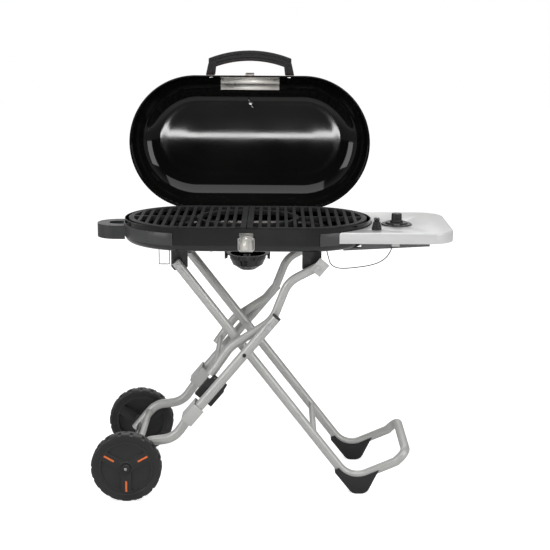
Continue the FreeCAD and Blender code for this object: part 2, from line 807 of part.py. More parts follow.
left_rail.Normal = Vector(1, 0, 0)
keep("cup_rails", group("cup_rails", cup_rail, left_rail))

# Front latch: a base on the firebox, a lever and a wire bail that hooks the lid.
LATCH_Y = "(-body_depth / 2)"
LATCH_Z = "(cooking_height - pan_height + latch_foot)"
base_plate = block(
    "latch_plate",
    "latch_width",
    "2",
    "latch_height + 6",
    "-latch_width / 2",
    LATCH_Y + " - 2",
    LATCH_Z + " - 2",
)
lever_pin = rod("lever_pin", "1.5", "latch_width", "-latch_width / 2", LATCH_Y + " - 4.5", LATCH_Z, "x")
pin_ears = [
    block("pin_ear_left", "1.5", "6", "5", "-latch_width / 2", LATCH_Y + " - 6.5", LATCH_Z + " - 2"),
    block("pin_ear_right", "1.5", "6", "5", "latch_width / 2 - 1.5", LATCH_Y + " - 6.5", LATCH_Z + " - 2"),
]
keep("latch_base", join("latch_base", base_plate, lever_pin, *pin_ears))
lever_plate = block(
    "lever_plate",
    "latch_width - 3 - 2 * gap",
    "2",
    "latch_height",
    "-latch_width / 2 + 1.5 + gap",
    LATCH_Y + " - 6",
    LATCH_Z,
)
lever_eye = rod(
    "lever_eye",
    "2.4",
    "latch_width - 3 - 2 * gap",
    "-latch_width / 2 + 1.5 + gap",
    LATCH_Y + " - 4.5",
    LATCH_Z,
    "x",
)
lever_trim = rod(
    "lever_trim", "1.5 + running", "latch_width", "-latch_width / 2", LATCH_Y + " - 4.5", LATCH_Z, "x"
)
lever_room = block(
    "lever_room", "latch_width", "4", "12", "-latch_width / 2", LATCH_Y + " - 2", LATCH_Z + " - 6"
)
BAIL_Z = "(cooking_height - pan_height + latch_foot + latch_height - 8)"
BAIL_Y = "(-body_depth / 2 - 9)"
bail_ears = [
    block(
        "bail_ear_left", "1.5", "6", "6", "-latch_width / 2 + 1.5 + gap", BAIL_Y + " - 2.5", BAIL_Z + " - 3"
    ),
    block("bail_ear_right", "1.5", "6", "6", "latch_width / 2 - 3 - gap", BAIL_Y + " - 2.5", BAIL_Z + " - 3"),
]
lever_whole = join("lever_whole", lever_plate, lever_eye, *bail_ears)
bail_bore = rod("bail_bore", "bail_wire + running", "latch_width", "-latch_width / 2", BAIL_Y, BAIL_Z, "x")
keep("latch_lever", cut("latch_lever", lever_whole, lever_trim, lever_room, bail_bore))
bail_half = size("latch_width") / 2 + 2.5
bail_y = -size("body_depth") / 2 - 9
bail_top = pan_floor + size("latch_foot") + size("latch_height") - 8
bail_low = pan_floor + size("latch_foot") + 2
ear = size("latch_width") / 2 - 3 - size("gap")
bail_points = [
    Vector(-ear, bail_y, bail_top),
    Vector(-bail_half, bail_y, bail_top),
    Vector(-bail_half, bail_y, bail_low),
    Vector(bail_half, bail_y, bail_low),
    Vector(bail_half, bail_y, bail_top),
    Vector(ear, bail_y, bail_top),
]
drawn("latch_bail", swept(bent_path(bail_points, [2.5, 4, 4, 2.5]), size("bail_wire")))

# ---------------------------------------------------------------- lid, drawn shut and then turned open

lid_rim = rim - size("lid_lap")
lid_outside = rounded_slot(
    "lid_outside",
    "lid_length / 2",
    "lid_depth / 2",
    LID_RIM,
    "lid_height",
    lid_rim + size("lid_height"),
    "lid_crown",
)
lid_inside = rounded_slot(
    "lid_inside",
    "lid_length / 2 - lid_wall",
    "lid_depth / 2 - lid_wall",
    LID_RIM + " - lid_wall",
    "lid_height",
    lid_rim + size("lid_height") - size("lid_wall"),
    "lid_crown - lid_wall",
)
lid_body = cut("lid_dome", lid_outside, lid_inside)

# Ten vent slots round each rear corner.
vents = []
vent_first, vent_step = -5, 5.2
arc_middle = size("lid_length") / 2 - size("lid_depth") / 2
for side in (-1, 1):
    for number in range(10):
        bearing = math.radians(90 - side * (vent_first + vent_step * number))
        vent = doc.addObject("Part::Box", "vent")
        vent.Length, vent.Width, vent.Height = 9, 8, 7
        turned = Rotation(Vector(0, 0, 1), math.degrees(bearing) - 90)
        radius = size("lid_depth") / 2 - 5
        spot = Vector(side * arc_middle + radius * math.cos(bearing), radius * math.sin(bearing), lid_rim + 9)
        vent.Placement = Placement(spot + turned.multVec(Vector(-4.5, 0, 0)), turned)
        vents.append(vent)
keep("lid_shell", cut("lid_shell", lid_body, *vents), on_lid=True)

# Lid handle: two posts on the front wall and an arched grip across them.
post_spots = size("lid_length") / 6
POST_Z = "(cooking_height - lid_lap + 22)"
posts = []
for side, name in ((-1, "left"), (1, "right")):
    posts.append(
        block(
            "post_" + name,
            "26",
            "46",
            "26",
            "%d * lid_length / 6 - 13" % side,
            "-lid_depth / 2 - 46",
            POST_Z,
        )
    )
keep("lid_handle_posts", group("lid_handle_posts", *posts), on_lid=True)
post_y = -size("lid_depth") / 2 - 46
grip_z = lid_rim + 22
grip_end, grip_inner = post_spots + 13, post_spots - 13
grip_outline = [
    Part.Arc(
        Vector(-grip_end, post_y, grip_z), Vector(0, post_y - 20, grip_z), Vector(grip_end, post_y, grip_z)
    ),
    Part.LineSegment(Vector(grip_end, post_y, grip_z), Vector(grip_inner, post_y, grip_z)),
    Part.Arc(
        Vector(grip_inner, post_y, grip_z),
        Vector(0, post_y - 4, grip_z),
        Vector(-grip_inner, post_y, grip_z),
    ),
    Part.LineSegment(Vector(-grip_inner, post_y, grip_z), Vector(-grip_end, post_y, grip_z)),
]
grip_wire = Part.Wire([edge.toShape() for edge in grip_outline])
drawn("lid_handle_grip", Part.Face(grip_wire).extrude(Vector(0, 0, 26)), on_lid=True)

# Bright plate inside the front wall, thermometer through the crown, catch for the latch.
plate = block("inner_plate", "160", "1.2", "38", "-80", "-lid_depth / 2 + lid_wall", LID_RIM + " + 1")
keep("lid_inner_plate", plate, on_lid=True)
GAUGE_Y = "(-lid_depth / 2 + lid_crown + 12)"
CROWN = "(cooking_height - lid_lap + lid_height)"
gauge = join(
    "gauge_parts",
    rod("gauge_dial", "27", "9", "0", GAUGE_Y, CROWN),
    rod("gauge_stem", "3", "lid_wall + 26", "0", GAUGE_Y, CROWN + " - lid_wall - 26"),
    rod("gauge_washer", "13", "2", "0", GAUGE_Y, CROWN + " - lid_wall - 2"),
    block("gauge_nut", "22", "6", "9", "-11", "-lid_depth / 2 + lid_crown + 9", CROWN + " - lid_wall - 12"),
)
keep("thermometer", gauge, on_lid=True)
gauge_hole = rod("gauge_hole", "3", "lid_wall * 3", "0", GAUGE_Y, CROWN + " - lid_wall * 2")
lid_with_vents = PARTS["lid_shell"]
keep("lid_shell", cut("lid_drilled", lid_with_vents, gauge_hole), on_lid=False)
lid_with_vents.Label = "lid_with_vents"
catch_plate = block("catch_plate", "24", "2", "14", "-12", "-lid_depth / 2 - 2", LID_RIM + " + 3")
catch_hook = block("catch_hook", "24", "5", "2", "-12", "-lid_depth / 2 - 7", LID_RIM + " + 15")
keep("lid_catch", join("lid_catch", catch_plate, catch_hook), on_lid=True)

# Two rear hinges: outer knuckles on the firebox, middle knuckle on the lid.
lower_leaves, upper_leaves, pins = [], [], []
for side, name in ((-1, "left"), (1, "right")):
    start = "%d * hinge_spread / 2 - hinge_width / 2" % side
    lower = [
        block(
            "lower_plate_" + name, "hinge_width", "leaf", "24", start, "body_depth / 2", HINGE_Z + " - 27"
        )
    ]
    for end, shift in (("a", "0"), ("b", "hinge_width * 3 / 4")):
        knuckle_x = "%s + %s" % (start, shift)
        lower.append(
            rod(
                "lower_knuckle_%s_%s" % (name, end),
                "knuckle",
                "hinge_width / 4",
                knuckle_x,
                HINGE_Y,
                HINGE_Z,
                "x",
            )
        )
        lower.append(
            block(
                "lower_web_%s_%s" % (name, end),
                "hinge_width / 4",
                "hinge_out",
                "leaf",
                knuckle_x,
                "body_depth / 2",
                HINGE_Z + " - knuckle",
            )
        )
    whole = join("lower_leaf_" + name, *lower)
    bore = rod("lower_bore_" + name, "hinge_pin", "hinge_width", start, HINGE_Y, HINGE_Z, "x")
    lower_leaves.append(cut("lower_hinge_" + name, whole, bore))
    pins.append(rod("pin_" + name, "hinge_pin", "hinge_width + 4", start + " - 2", HINGE_Y, HINGE_Z, "x"))
    middle = start + " + hinge_width / 4 + gap"
    upper = join(
        "upper_leaf_" + name,
        rod("upper_knuckle_" + name, "knuckle", "hinge_width / 2 - 2 * gap", middle, HINGE_Y, HINGE_Z, "x"),
        block(
            "upper_web_" + name,
            "hinge_width / 2 - 2 * gap",
            "leaf",
            "hinge_drop - lid_lap + 12",
            middle,
            "lid_depth / 2",
            HINGE_Z,
        ),
        block("upper_plate_" + name, "hinge_width", "leaf", "22", start, "lid_depth / 2", LID_RIM + " + 3"),
    )
    upper_bore = rod("upper_bore_" + name, "hinge_pin + running", "hinge_width", start, HINGE_Y, HINGE_Z, "x")
    upper_leaves.append(cut("upper_hinge_" + name, upper, upper_bore))
keep("hinge_leaves_lower", group("hinge_leaves_lower", *lower_leaves))
keep("hinge_pins", group("hinge_pins", *pins))
keep("hinge_leaves_upper", group("hinge_leaves_upper", *upper_leaves), on_lid=True)

# ---------------------------------------------------------------- stand

# The stand's pivots lie in the XZ plane. The upper link, the knee and the crossing are in one
# straight line when the stand is locked open.
foot_pivot = Vector(-size("pivot_left"), 0, pan_floor - size("pivot_drop"))
link_pivot = Vector(size("pivot_right"), 0, pan_floor - size("link_drop"))
foot_bend = Vector(size("foot_place"), 0, size("foot_rise"))
foot_line = (foot_bend - foot_pivot).normalize()
crossing = foot_pivot + foot_line * size("cross_reach")
toggle = (crossing - link_pivot).normalize()
toggle_side = Vector(toggle.z, 0, -toggle.x)
knee = crossing - toggle * size("knee_reach")
axle = Vector(-size("axle_place"), 0, size("wheel_radius"))


def in_plane(point, y):
    return Vector(point.x, y, point.z)


def both(shape):
    """A shape and its mirror image across the XZ plane, as one group."""
    return Part.makeCompound([shape, shape.mirror(Vector(), Vector(0, 1, 0))])


def pin_along_y(point, radius, start, length):
    return Part.makeCylinder(radius, length, in_plane(point, start), Vector(0, 1, 0))


def bracket(label, centre, pivot_drop, half_width, near):
    """Hanger under the firebox: a flange with a plate down to a pivot."""
    low = "cooking_height - pan_height - %s - 14" % pivot_drop
    high = "cooking_height - pan_height - band"
    points = [
        ("%s - %s + 8" % (centre, half_width), low),
        ("%s + %s - 8" % (centre, half_width), low),
        ("%s + %s" % (centre, half_width), low + " + 10"),
        ("%s + %s" % (centre, half_width), high),
        ("%s - %s" % (centre, half_width), high),
        ("%s - %s" % (centre, half_width), low + " + 10"),
    ]
    plate = outline(label + "_plate", points, "band - gap", near)
    flange = block(
        label + "_flange",
        "2 * %s + 6" % half_width,
        "foot_tube * 2 + 2 * band",
        "band",
        "%s - %s - 3" % (centre, half_width),
        "foot_plane - foot_tube - band",
        high,
    )
    return both_sides(label, join(label + "_whole", flange, plate))


bracket("leg_brackets_left", "-pivot_left", "pivot_drop", "21", "foot_plane - foot_tube - band")
bracket("leg_brackets_right", "pivot_right - 13", "link_drop", "24", "link_plane - link_tube - band")

pin, running = size("pivot_pin"), size("running")
foot_plane, link_plane, leg_plane = size("foot_plane"), size("link_plane"), size("leg_plane")
foot_tube, link_tube, leg_tube = size("foot_tube"), size("link_tube"), size("leg_tube")
wall, gap, band = size("tube_wall"), size("gap"), size("band")
foot_pin = pin_along_y(foot_pivot, pin, foot_plane - foot_tube - band - 3, 2 * foot_tube + band + 5)
foot_head = pin_along_y(foot_pivot, pin + 3, foot_plane + foot_tube + gap, 3)
link_pin = pin_along_y(link_pivot, pin, link_plane - link_tube - band - 3, 2 * link_tube + band + 9)
link_head = pin_along_y(link_pivot, pin + 3, link_plane + link_tube + 2 * gap + 2.4, 3)
drawn("pivot_pins", Part.makeCompound([both(foot_pin.fuse(foot_head)), both(link_pin.fuse(link_head))]))
for label in ("leg_brackets_left", "leg_brackets_right"):
    drilled = doc.addObject("Part::Feature", label + "_holes")
    drilled.Shape = Part.makeCompound([both(foot_pin), both(link_pin)])
    plain = PARTS[label]
    plain.Label = label + "_plain"
    keep(label, cut(label + "_drilled", plain, drilled))

# Foot frame: one long tube bent round the loop end, with its cross bar, pads and crossing pins.
loop_end = Vector(size("loop_place"), 0, size("loop_rise"))
knuckle_point = Vector(loop_end.x - 26, 0, loop_end.z - 26)
half_frame = [foot_pivot - foot_line * 14, foot_bend, knuckle_point, loop_end]
foot_route = [in_plane(point, -foot_plane) for point in half_frame]
foot_route += [in_plane(point, foot_plane) for point in reversed(half_frame)]
loop_bend = size("loop_bend")
FOOT_BEND_RADIUS = 60
foot_radii = [FOOT_BEND_RADIUS, 5, loop_bend * 0.6]
foot_path_wire = bent_path(foot_route, foot_radii + foot_radii[::-1])
frame_outer = swept(foot_path_wire, foot_tube)
frame_tube = frame_outer.cut(swept(foot_path_wire, foot_tube - wall))
foot_bore = pin_along_y(foot_pivot, pin + running, -link_plane, 2 * link_plane)
cross_bore = pin_along_y(crossing, pin, -link_plane, 2 * link_plane)
bar_spot = foot_pivot + foot_line * ((foot_bend - foot_pivot).Length - 156)
drawn("foot_frame", frame_tube.cut(foot_bore).cut(cross_bore))
foot_bar = pin_along_y(bar_spot, size("foot_bar"), -foot_plane, 2 * foot_plane)
drawn("foot_crossbar", foot_bar.cut(frame_outer))
# Each pad is a sheath on the lower half of the bend, with a rounded sole.
loop_line = (knuckle_point - foot_bend).normalize()
sheath = foot_tube + size("pad_lip")
pad_left = foot_bend - foot_line * size("pad_length") * 0.43
pad_right = foot_bend + loop_line * size("pad_length") * 0.72
sole_left = Vector(foot_bend.x + 6, 0, 0)
sole_right = Vector(foot_bend.x + 43, 0, 0)
pad_corner = pad_left + Vector(foot_line.z, 0, -foot_line.x) * sheath
pad_edges = bent_path([pad_left, pad_corner, sole_left, sole_right, pad_right], [5, 24, 24]).Edges
pad_edges += bent_path([pad_right, foot_bend, pad_left], [FOOT_BEND_RADIUS]).Edges
pad_face = Part.Face(Part.Wire(pad_edges))
foot_pad = pad_face.extrude(Vector(0, 2 * sheath, 0))
foot_pad.translate(Vector(0, foot_plane - sheath, 0))
drawn("foot_pads", both(foot_pad.cut(frame_outer)))
cross_pin = pin_along_y(crossing, pin, foot_plane - foot_tube - 2, 2 * foot_tube + 2)
cross_head = pin_along_y(crossing, pin + 4, foot_plane - foot_tube - 4, 4).cut(frame_outer)
drawn("cross_pins", both(cross_pin.fuse(cross_head)))

# Wheel legs: straight outer tubes, each with a plated joint to a bent tube that holds the axle.
leg_top = crossing - toggle * size("cap_reach")
leg_end = crossing + toggle * size("leg_reach")
leg_run = Part.Wire([Part.LineSegment(in_plane(leg_top, leg_plane), in_plane(leg_end, leg_plane)).toShape()])
knee_clear = pin_along_y(knee, pin + running, 0, 2 * leg_plane)
leg_outer = swept(leg_run, leg_tube)
leg_shape = leg_outer.cut(swept(leg_run, leg_tube - wall)).cut(knee_clear)
drawn("wheel_leg_rear", leg_shape)
drawn("wheel_leg_front", leg_shape.mirror(Vector(), Vector(0, 1, 0)))
leg_cap = Part.makeCylinder(leg_tube, 3, in_plane(leg_top, leg_plane), toggle * -1)
cross_rivet = pin_along_y(crossing, pin + 1, leg_plane + leg_tube - 3, 4.5).cut(leg_outer)
drawn("leg_caps", both(leg_cap.fuse(cross_rivet)))
wheel_plane = leg_plane - 2 * leg_tube
curve_points = [
    leg_end - toggle * 24,
    Vector(axle.x + 119, 0, axle.z + 64),
    Vector(axle.x + 43, 0, axle.z + 54),
    Vector(axle.x - 14, 0, axle.z - 16),
]
curve_path = bent_path([in_plane(point, wheel_plane) for point in curve_points], [62, 58])
curve_outer = swept(curve_path, leg_tube)
axle_hole = pin_along_y(axle, size("axle_radius"), 0, 2 * leg_plane)
drawn("wheel_tubes", both(curve_outer.cut(swept(curve_path, leg_tube - wall)).cut(axle_hole)))
brace_spot = Vector(axle.x + 26, 0, axle.z + 36)
brace = pin_along_y(brace_spot, size("foot_bar"), -wheel_plane, 2 * wheel_plane)
drawn("brace_rod", brace.cut(curve_outer).cut(curve_outer.mirror(Vector(), Vector(0, 1, 0))))
plate_side = Vector(0, 2.4, 0)
plate_corners = [
    leg_end - toggle * 40 + toggle_side * 16,
    leg_end - toggle * 40 - toggle_side * 16,
    leg_end + toggle * 12 - toggle_side * 16,
    leg_end + toggle * 12 + toggle_side * 16,
]
plate_face = Part.Face(
    Part.makePolygon([in_plane(point, leg_plane + leg_tube) for point in plate_corners + plate_corners[:1]])
)
outer_plate = plate_face.extrude(plate_side)
inner_plate = outer_plate.copy()
inner_plate.translate(Vector(0, wheel_plane - leg_plane - 2 * leg_tube - 2.4, 0))
bolt_spot = leg_end - toggle * 14
joint_bolt = pin_along_y(bolt_spot, 3.5, wheel_plane - leg_tube - 5, 2 * leg_tube + 2 * leg_tube + 10)
web_corners = [
    leg_end - toggle * 40 + toggle_side * 13.6,
    leg_end - toggle * 40 + toggle_side * 16,
    leg_end + toggle * 12 + toggle_side * 16,
    leg_end + toggle * 12 + toggle_side * 13.6,
]
web_face = Part.Face(
    Part.makePolygon(
        [in_plane(point, wheel_plane - leg_tube - 2.4) for point in web_corners + web_corners[:1]]
    )
)
web = web_face.extrude(Vector(0, 4 * leg_tube + 4.8, 0))
joint_plate = outer_plate.multiFuse([inner_plate, web])
tubes_both = leg_outer.fuse(curve_outer)
joint_plate = joint_plate.cut(tubes_both).removeSplitter()
drawn("joint_plates", both(joint_plate))

# Axle, caps and the two wheels.
wheel_middle = size("wheel_track") / 2
wheel_half = size("wheel_width") / 2
axle_end = wheel_middle + wheel_half + 6
axle_bar = pin_along_y(axle, size("axle_radius"), -axle_end, 2 * axle_end)
caps = [pin_along_y(axle, size("cap_radius"), side * (axle_end - 2) - 2, 4) for side in (-1, 1)]
drawn("wheel_axle", axle_bar.multiFuse(caps).removeSplitter())


def turned_ring(points, y):
    """Turn an outline of (radius, offset along the axle) pairs about the axle."""
    corners = [Vector(axle.x + radius, y + offset, axle.z) for radius, offset in points]
    face = Part.Face(Part.makePolygon(corners + corners[:1]))
    return face.revolve(axle, Vector(0, 1, 0), 360)


rim_radius, wheel_radius = size("rim_radius"), size("wheel_radius")
tyre_profile = [
    (rim_radius, -wheel_half + 3),
    (wheel_radius - 7, -wheel_half),
    (wheel_radius, -wheel_half + 7),
    (wheel_radius, wheel_half - 7),
    (wheel_radius - 7, wheel_half),
    (rim_radius, wheel_half - 3),
]
for side, name in ((-1, "front"), (1, "rear")):
    y = side * wheel_middle
    drawn("tyre_" + name, turned_ring(tyre_profile, y))
    disc = turned_ring([(0, -4), (rim_radius, -4), (rim_radius, 4), (0, 4)], y)
    hub = turned_ring(
        [(0, -wheel_half + 1), (18, -wheel_half + 1), (18, wheel_half - 1), (0, wheel_half - 1)], y
    )
    outer_ring = turned_ring(
        [
            (rim_radius - 5, -wheel_half + 3),
            (rim_radius, -wheel_half + 3),
            (rim_radius, wheel_half - 3),
            (rim_radius - 5, wheel_half - 3),
        ],
        y,
    )
    spokes, inserts = [], []
    for turn in (30, 150, 270):
        length = rim_radius - 16
        spoke = Part.makeBox(
            length, 2 * wheel_half - 10, 14, Vector(axle.x + 14, y - wheel_half + 5, axle.z - 7)
        )
        insert = Part.makeBox(
            30, 3, 6, Vector(axle.x + 34, y + side * (wheel_half - 5) - (3 if side < 0 else 0), axle.z - 3)
        )
        for item, store in ((spoke, spokes), (insert, inserts)):
            item.rotate(axle, Vector(0, -1, 0), turn)
            store.append(item)
    wheel = disc.multiFuse([hub, outer_ring] + spokes).removeSplitter()
    clear_bore = pin_along_y(axle, size("axle_radius") + running, y - 40, 80)
    drawn("wheel_rim_" + name, wheel.cut(clear_bore))
    drawn("wheel_inserts_" + name, Part.makeCompound(inserts))

# Upper links: bent tubes from the right brackets to the lock, joined by a cross bar.
knee_run = (knee - link_pivot).Length


def on_link(run, offset):
    return link_pivot + toggle * run + toggle_side * offset


link_points = [
    on_link(-4, 0),
    on_link(74, 32),
    on_link(knee_run - 13, -2),
    on_link(knee_run + 108, 35),
    on_link(knee_run + 196, 27),
]
link_path = bent_path([in_plane(point, link_plane) for point in link_points], [70, 80, 80])
link_outer = swept(link_path, link_tube)
link_bore = pin_along_y(link_pivot, pin + running, 0, 2 * leg_plane)
knee_bore = pin_along_y(knee, pin, 0, 2 * leg_plane)
link_shape = link_outer.cut(swept(link_path, link_tube - wall)).cut(link_bore).cut(knee_bore)
drawn("upper_link_rear", link_shape)
drawn("upper_link_front", link_shape.mirror(Vector(), Vector(0, 1, 0)))
knee_pin = pin_along_y(
    knee, pin, link_plane - link_tube - 1, leg_plane + leg_tube + 5 - link_plane + link_tube
)
knee_head = pin_along_y(knee, pin + 4, leg_plane + leg_tube + 2 * gap, 3)
drawn("knee_pins", both(knee_pin.fuse(knee_head)))
bar_place = on_link(knee_run + 176, 29)
link_bar = pin_along_y(bar_place, size("foot_bar") - 1, -link_plane, 2 * link_plane)
drawn("link_crossbar", link_bar.cut(link_outer).cut(link_outer.mirror(Vector(), Vector(0, 1, 0))))
end_corners = [on_link(-26, -18), on_link(-26, 12), on_link(12, 12), on_link(12, -18)]
end_face = Part.Face(
    Part.makePolygon(
        [in_plane(point, link_plane + link_tube + gap) for point in end_corners + end_corners[:1]]
    )
)
end_plate = end_face.extrude(Vector(0, 2.4, 0)).cut(link_bore)
drawn("link_end_plates", both(end_plate))

# Lock at the lower end of the front link: a steel plate and the block that snaps behind the wheel leg.
lock_plane = -link_plane - link_tube
half_lock = size("lock_width") / 2
plate_low = knee_run + 200
lock_corners = [
    on_link(plate_low - 12, half_lock - 6),
    on_link(plate_low - 12, -half_lock + 6),
    on_link(plate_low + 26, -half_lock),
    on_link(plate_low + 26, half_lock),
]
lock_face = Part.Face(
    Part.makePolygon([in_plane(point, lock_plane) for point in lock_corners + lock_corners[:1]])
)
lock_plate = lock_face.extrude(Vector(0, 2.5, 0))
link_front_outer = link_outer.mirror(Vector(), Vector(0, 1, 0))
lock_pivot = on_link(plate_low + 20, 0)
lock_pin = pin_along_y(lock_pivot, pin - 1, lock_plane, 14)
drawn("lock_plate", lock_plate.cut(link_front_outer).fuse(lock_pin))
block_start = plate_low + 9
block_corners = [
    on_link(block_start, half_lock),
    on_link(block_start, -half_lock),
    on_link(block_start + size("lock_length") + 8, -half_lock),
    on_link(block_start + size("lock_length") + 8, half_lock),
]
block_face = Part.Face(
    Part.makePolygon([in_plane(point, lock_plane + 2.5 + gap) for point in block_corners + block_corners[:1]])
)
lock_block = block_face.extrude(Vector(0, size("lock_thickness") - 3, 0))
lock_bore = pin_along_y(lock_pivot, pin - 1 + running, lock_plane, 40)
drawn("lock_block", lock_block.cut(lock_bore))

# ---------------------------------------------------------------- igniter wire

# The wire hangs from a clip on the front rail to a grommet under the firebox.
wire_clip = block(
    "wire_clip_block", "20", "8", "16", "rail_end - 97", "-rail_spread / 2 - 8", TABLE_TOP + " - 43"
)
grommet = rod("wire_grommet_body", "5", "6", "pivot_right + 25", "-rail_spread / 2 - 4", FLOOR + " - 6")
keep("wire_glands", group("wire_glands", wire_clip, grommet))
wire_points = [
    Vector(366, -109, 651.6),
    Vector(361, -109, 636),
    Vector(346, -110, 617),
    Vector(318, -111, 604),
    Vector(272, -112, 597),
    Vector(232, -112, 594),
    Vector(211, -111, 604),
    Vector(205, -110, 625),
    Vector(201, -109, 640.6),
]


def free_cord(label, points, radius):
    """A round cord: straight runs joined by the largest tangent arcs that both runs allow."""
    radii = []
    for before, corner, after in zip(points, points[1:], points[2:]):
        half = (after - corner).getAngle(corner - before) / 2
        shorter = min((corner - before).Length, (after - corner).Length)
        radii.append(0.45 * shorter / math.tan(half))
    path = bent_path(points, radii)
    shape = swept(path, radius)
    print(
        label,
        "length",
        round(path.Length, 1),
        "volume ratio",
        round(shape.Volume / (math.pi * radius**2 * path.Length), 4),
    )
    print(label, "radii", [round(value, 1) for value in radii])
    return drawn(label, shape)


free_cord("igniter_wire", wire_points, size("wire_radius"))

# ---------------------------------------------------------------- into place, checks and files

doc.recompute()
turned_lid = Placement(Vector(), Rotation(Vector(1, 0, 0), -size("open_angle")), hinge_axis)
lid_back = hinge_axis.y + size("lid_height") + lid_rim - hinge_axis.z + 9
origin = Vector((size("table_end") + axle.x - wheel_radius) / 2, (lid_back - axle_end) / 2, 0)
to_origin = Placement(origin * -1, Rotation())

failed = [item.Name for item in doc.Objects if {"Invalid", "Error"} & set(item.State)]
assert not failed, failed
os.makedirs("parts", exist_ok=True)
for label, item in PARTS.items():
    shift = to_origin
    if label in LID_PARTS or label == "lid_shell":
        shift = to_origin.multiply(turned_lid)
    item.Placement = shift.multiply(item.Placement)
doc.recompute()
for label, item in PARTS.items():
    shape = item.Shape
    assert not shape.isNull() and shape.isValid(), label
    assert shape.Solids, label
    shape.exportStep("parts/%s.step" % label)
print(len(PARTS), "sub-parts, origin", [round(value, 2) for value in origin])
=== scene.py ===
import bpy
import json
import math
from mathutils import Matrix, Vector


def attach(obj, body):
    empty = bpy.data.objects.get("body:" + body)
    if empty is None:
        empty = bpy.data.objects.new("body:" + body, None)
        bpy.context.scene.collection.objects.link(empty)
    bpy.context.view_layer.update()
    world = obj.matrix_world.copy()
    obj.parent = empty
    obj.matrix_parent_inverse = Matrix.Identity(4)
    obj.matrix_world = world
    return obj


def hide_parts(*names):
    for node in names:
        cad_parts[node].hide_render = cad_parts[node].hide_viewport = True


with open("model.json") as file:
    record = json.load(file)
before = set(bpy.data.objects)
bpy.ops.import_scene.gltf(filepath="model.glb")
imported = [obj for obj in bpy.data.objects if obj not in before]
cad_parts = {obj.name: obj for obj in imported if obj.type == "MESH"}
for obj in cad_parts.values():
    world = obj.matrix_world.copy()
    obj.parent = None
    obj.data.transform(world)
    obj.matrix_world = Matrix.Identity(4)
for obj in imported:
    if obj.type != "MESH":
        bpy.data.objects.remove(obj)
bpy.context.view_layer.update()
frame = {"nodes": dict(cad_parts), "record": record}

nodes = frame["nodes"]
bpy.context.scene.view_settings.view_transform = "Standard"
hearthMiddle = Vector((-0.062, -0.065, 0.0))  # floor point under the firebox middle
leftToRight, frontToBack, upwards = Vector((1, 0, 0)), Vector((0, 1, 0)), Vector((0, 0, 1))
print("frame loaded,", len(nodes), "nodes")


def spot(x, y, z):
    # millimetres from the firebox middle, turned into row metres
    return hearthMiddle + Vector((x, y, z)) / 1000


# ---- camera and lights
studio = {
    "cameraPlace": (0.00925, -3.21493, 1.24913),
    "tiltDown": 12.48,
    "roll": 0.0064,
    "lens": 80.6,
    "roomLight": 0.42,
    "frontLight": 0.03,
    "keyPower": 50,
    "sidePower": 26,
    "stripPower": 7.0,
}

camera = bpy.data.objects.new("camera", bpy.data.cameras.new("camera"))
bpy.context.collection.objects.link(camera)
camera.location = studio["cameraPlace"]
tilt = Matrix.Rotation(math.radians(90 - studio["tiltDown"]), 3, "X")
camera.rotation_euler = (tilt @ Matrix.Rotation(studio["roll"], 3, "Z")).to_euler()
camera.data.lens = studio["lens"]
camera.data.sensor_width = 36
camera.data.clip_end = 60
bpy.context.scene.camera = camera


def softLight(name, place, target, width, height, power):
    lamp = bpy.data.objects.new(name, bpy.data.lights.new(name, "AREA"))
    bpy.context.collection.objects.link(lamp)
    lamp.data.shape = "RECTANGLE"
    lamp.data.size = width
    lamp.data.size_y = height
    lamp.data.energy = power
    lamp.location = place
    lamp.rotation_euler = (Vector(target) - Vector(place)).to_track_quat("-Z", "Y").to_euler()
    return lamp


softLight("keyLight", (0.2, -1.6, 3.6), (0, 0, 0.6), 3.0, 2.4, studio["keyPower"])
softLight("leftLight", (-2.5, -1.9, 1.5), (0, 0, 0.7), 1.2, 1.6, studio["sidePower"])
softLight("rightLight", (2.5, -1.9, 1.5), (0, 0, 0.7), 1.2, 1.6, studio["sidePower"])
softLight("backLight", (0, 3.0, 2.6), (0, 0, 0.6), 3.0, 1.2, studio["sidePower"])
softLight("stripLight", (-0.06, -3.35, 0.55), (-0.06, 0, 0.61), 0.78, 0.10, studio["stripPower"])

world = bpy.data.worlds.new("studio")
bpy.context.scene.world = world
world.use_nodes = True
worldNodes, worldLinks = world.node_tree.nodes, world.node_tree.links
roomShade = worldNodes["Background"]
roomShade.inputs["Color"].default_value = (1, 1, 1, 1)
roomShade.inputs["Strength"].default_value = studio["roomLight"]
whiteWall = worldNodes.new("ShaderNodeBackground")
whiteWall.inputs["Color"].default_value = (1, 1, 1, 1)
whichRay = worldNodes.new("ShaderNodeLightPath")
seenOrLit = worldNodes.new("ShaderNodeMixShader")
bearing = worldNodes.new("ShaderNodeTexCoord")
facing = worldNodes.new("ShaderNodeVectorMath")
facing.operation = "DOT_PRODUCT"
facing.inputs[1].default_value = (0, -1, 0)
darkFront = worldNodes.new("ShaderNodeMapRange")
darkFront.interpolation_type = "SMOOTHSTEP"
darkFront.inputs["From Min"].default_value = 0.25
darkFront.inputs["From Max"].default_value = 0.72
darkFront.inputs["To Min"].default_value = studio["roomLight"]
darkFront.inputs["To Max"].default_value = studio["frontLight"]
worldLinks.new(bearing.outputs["Generated"], facing.inputs[0])
worldLinks.new(facing.outputs["Value"], darkFront.inputs["Value"])
worldLinks.new(darkFront.outputs["Result"], roomShade.inputs["Strength"])
worldLinks.new(whichRay.outputs["Is Camera Ray"], seenOrLit.inputs["Fac"])
worldLinks.new(roomShade.outputs["Background"], seenOrLit.inputs[1])
worldLinks.new(whiteWall.outputs["Background"], seenOrLit.inputs[2])
worldLinks.new(seenOrLit.outputs["Shader"], worldNodes["World Output"].inputs["Surface"])
print("camera and lights placed")

# ---- shader groups that several finishes share


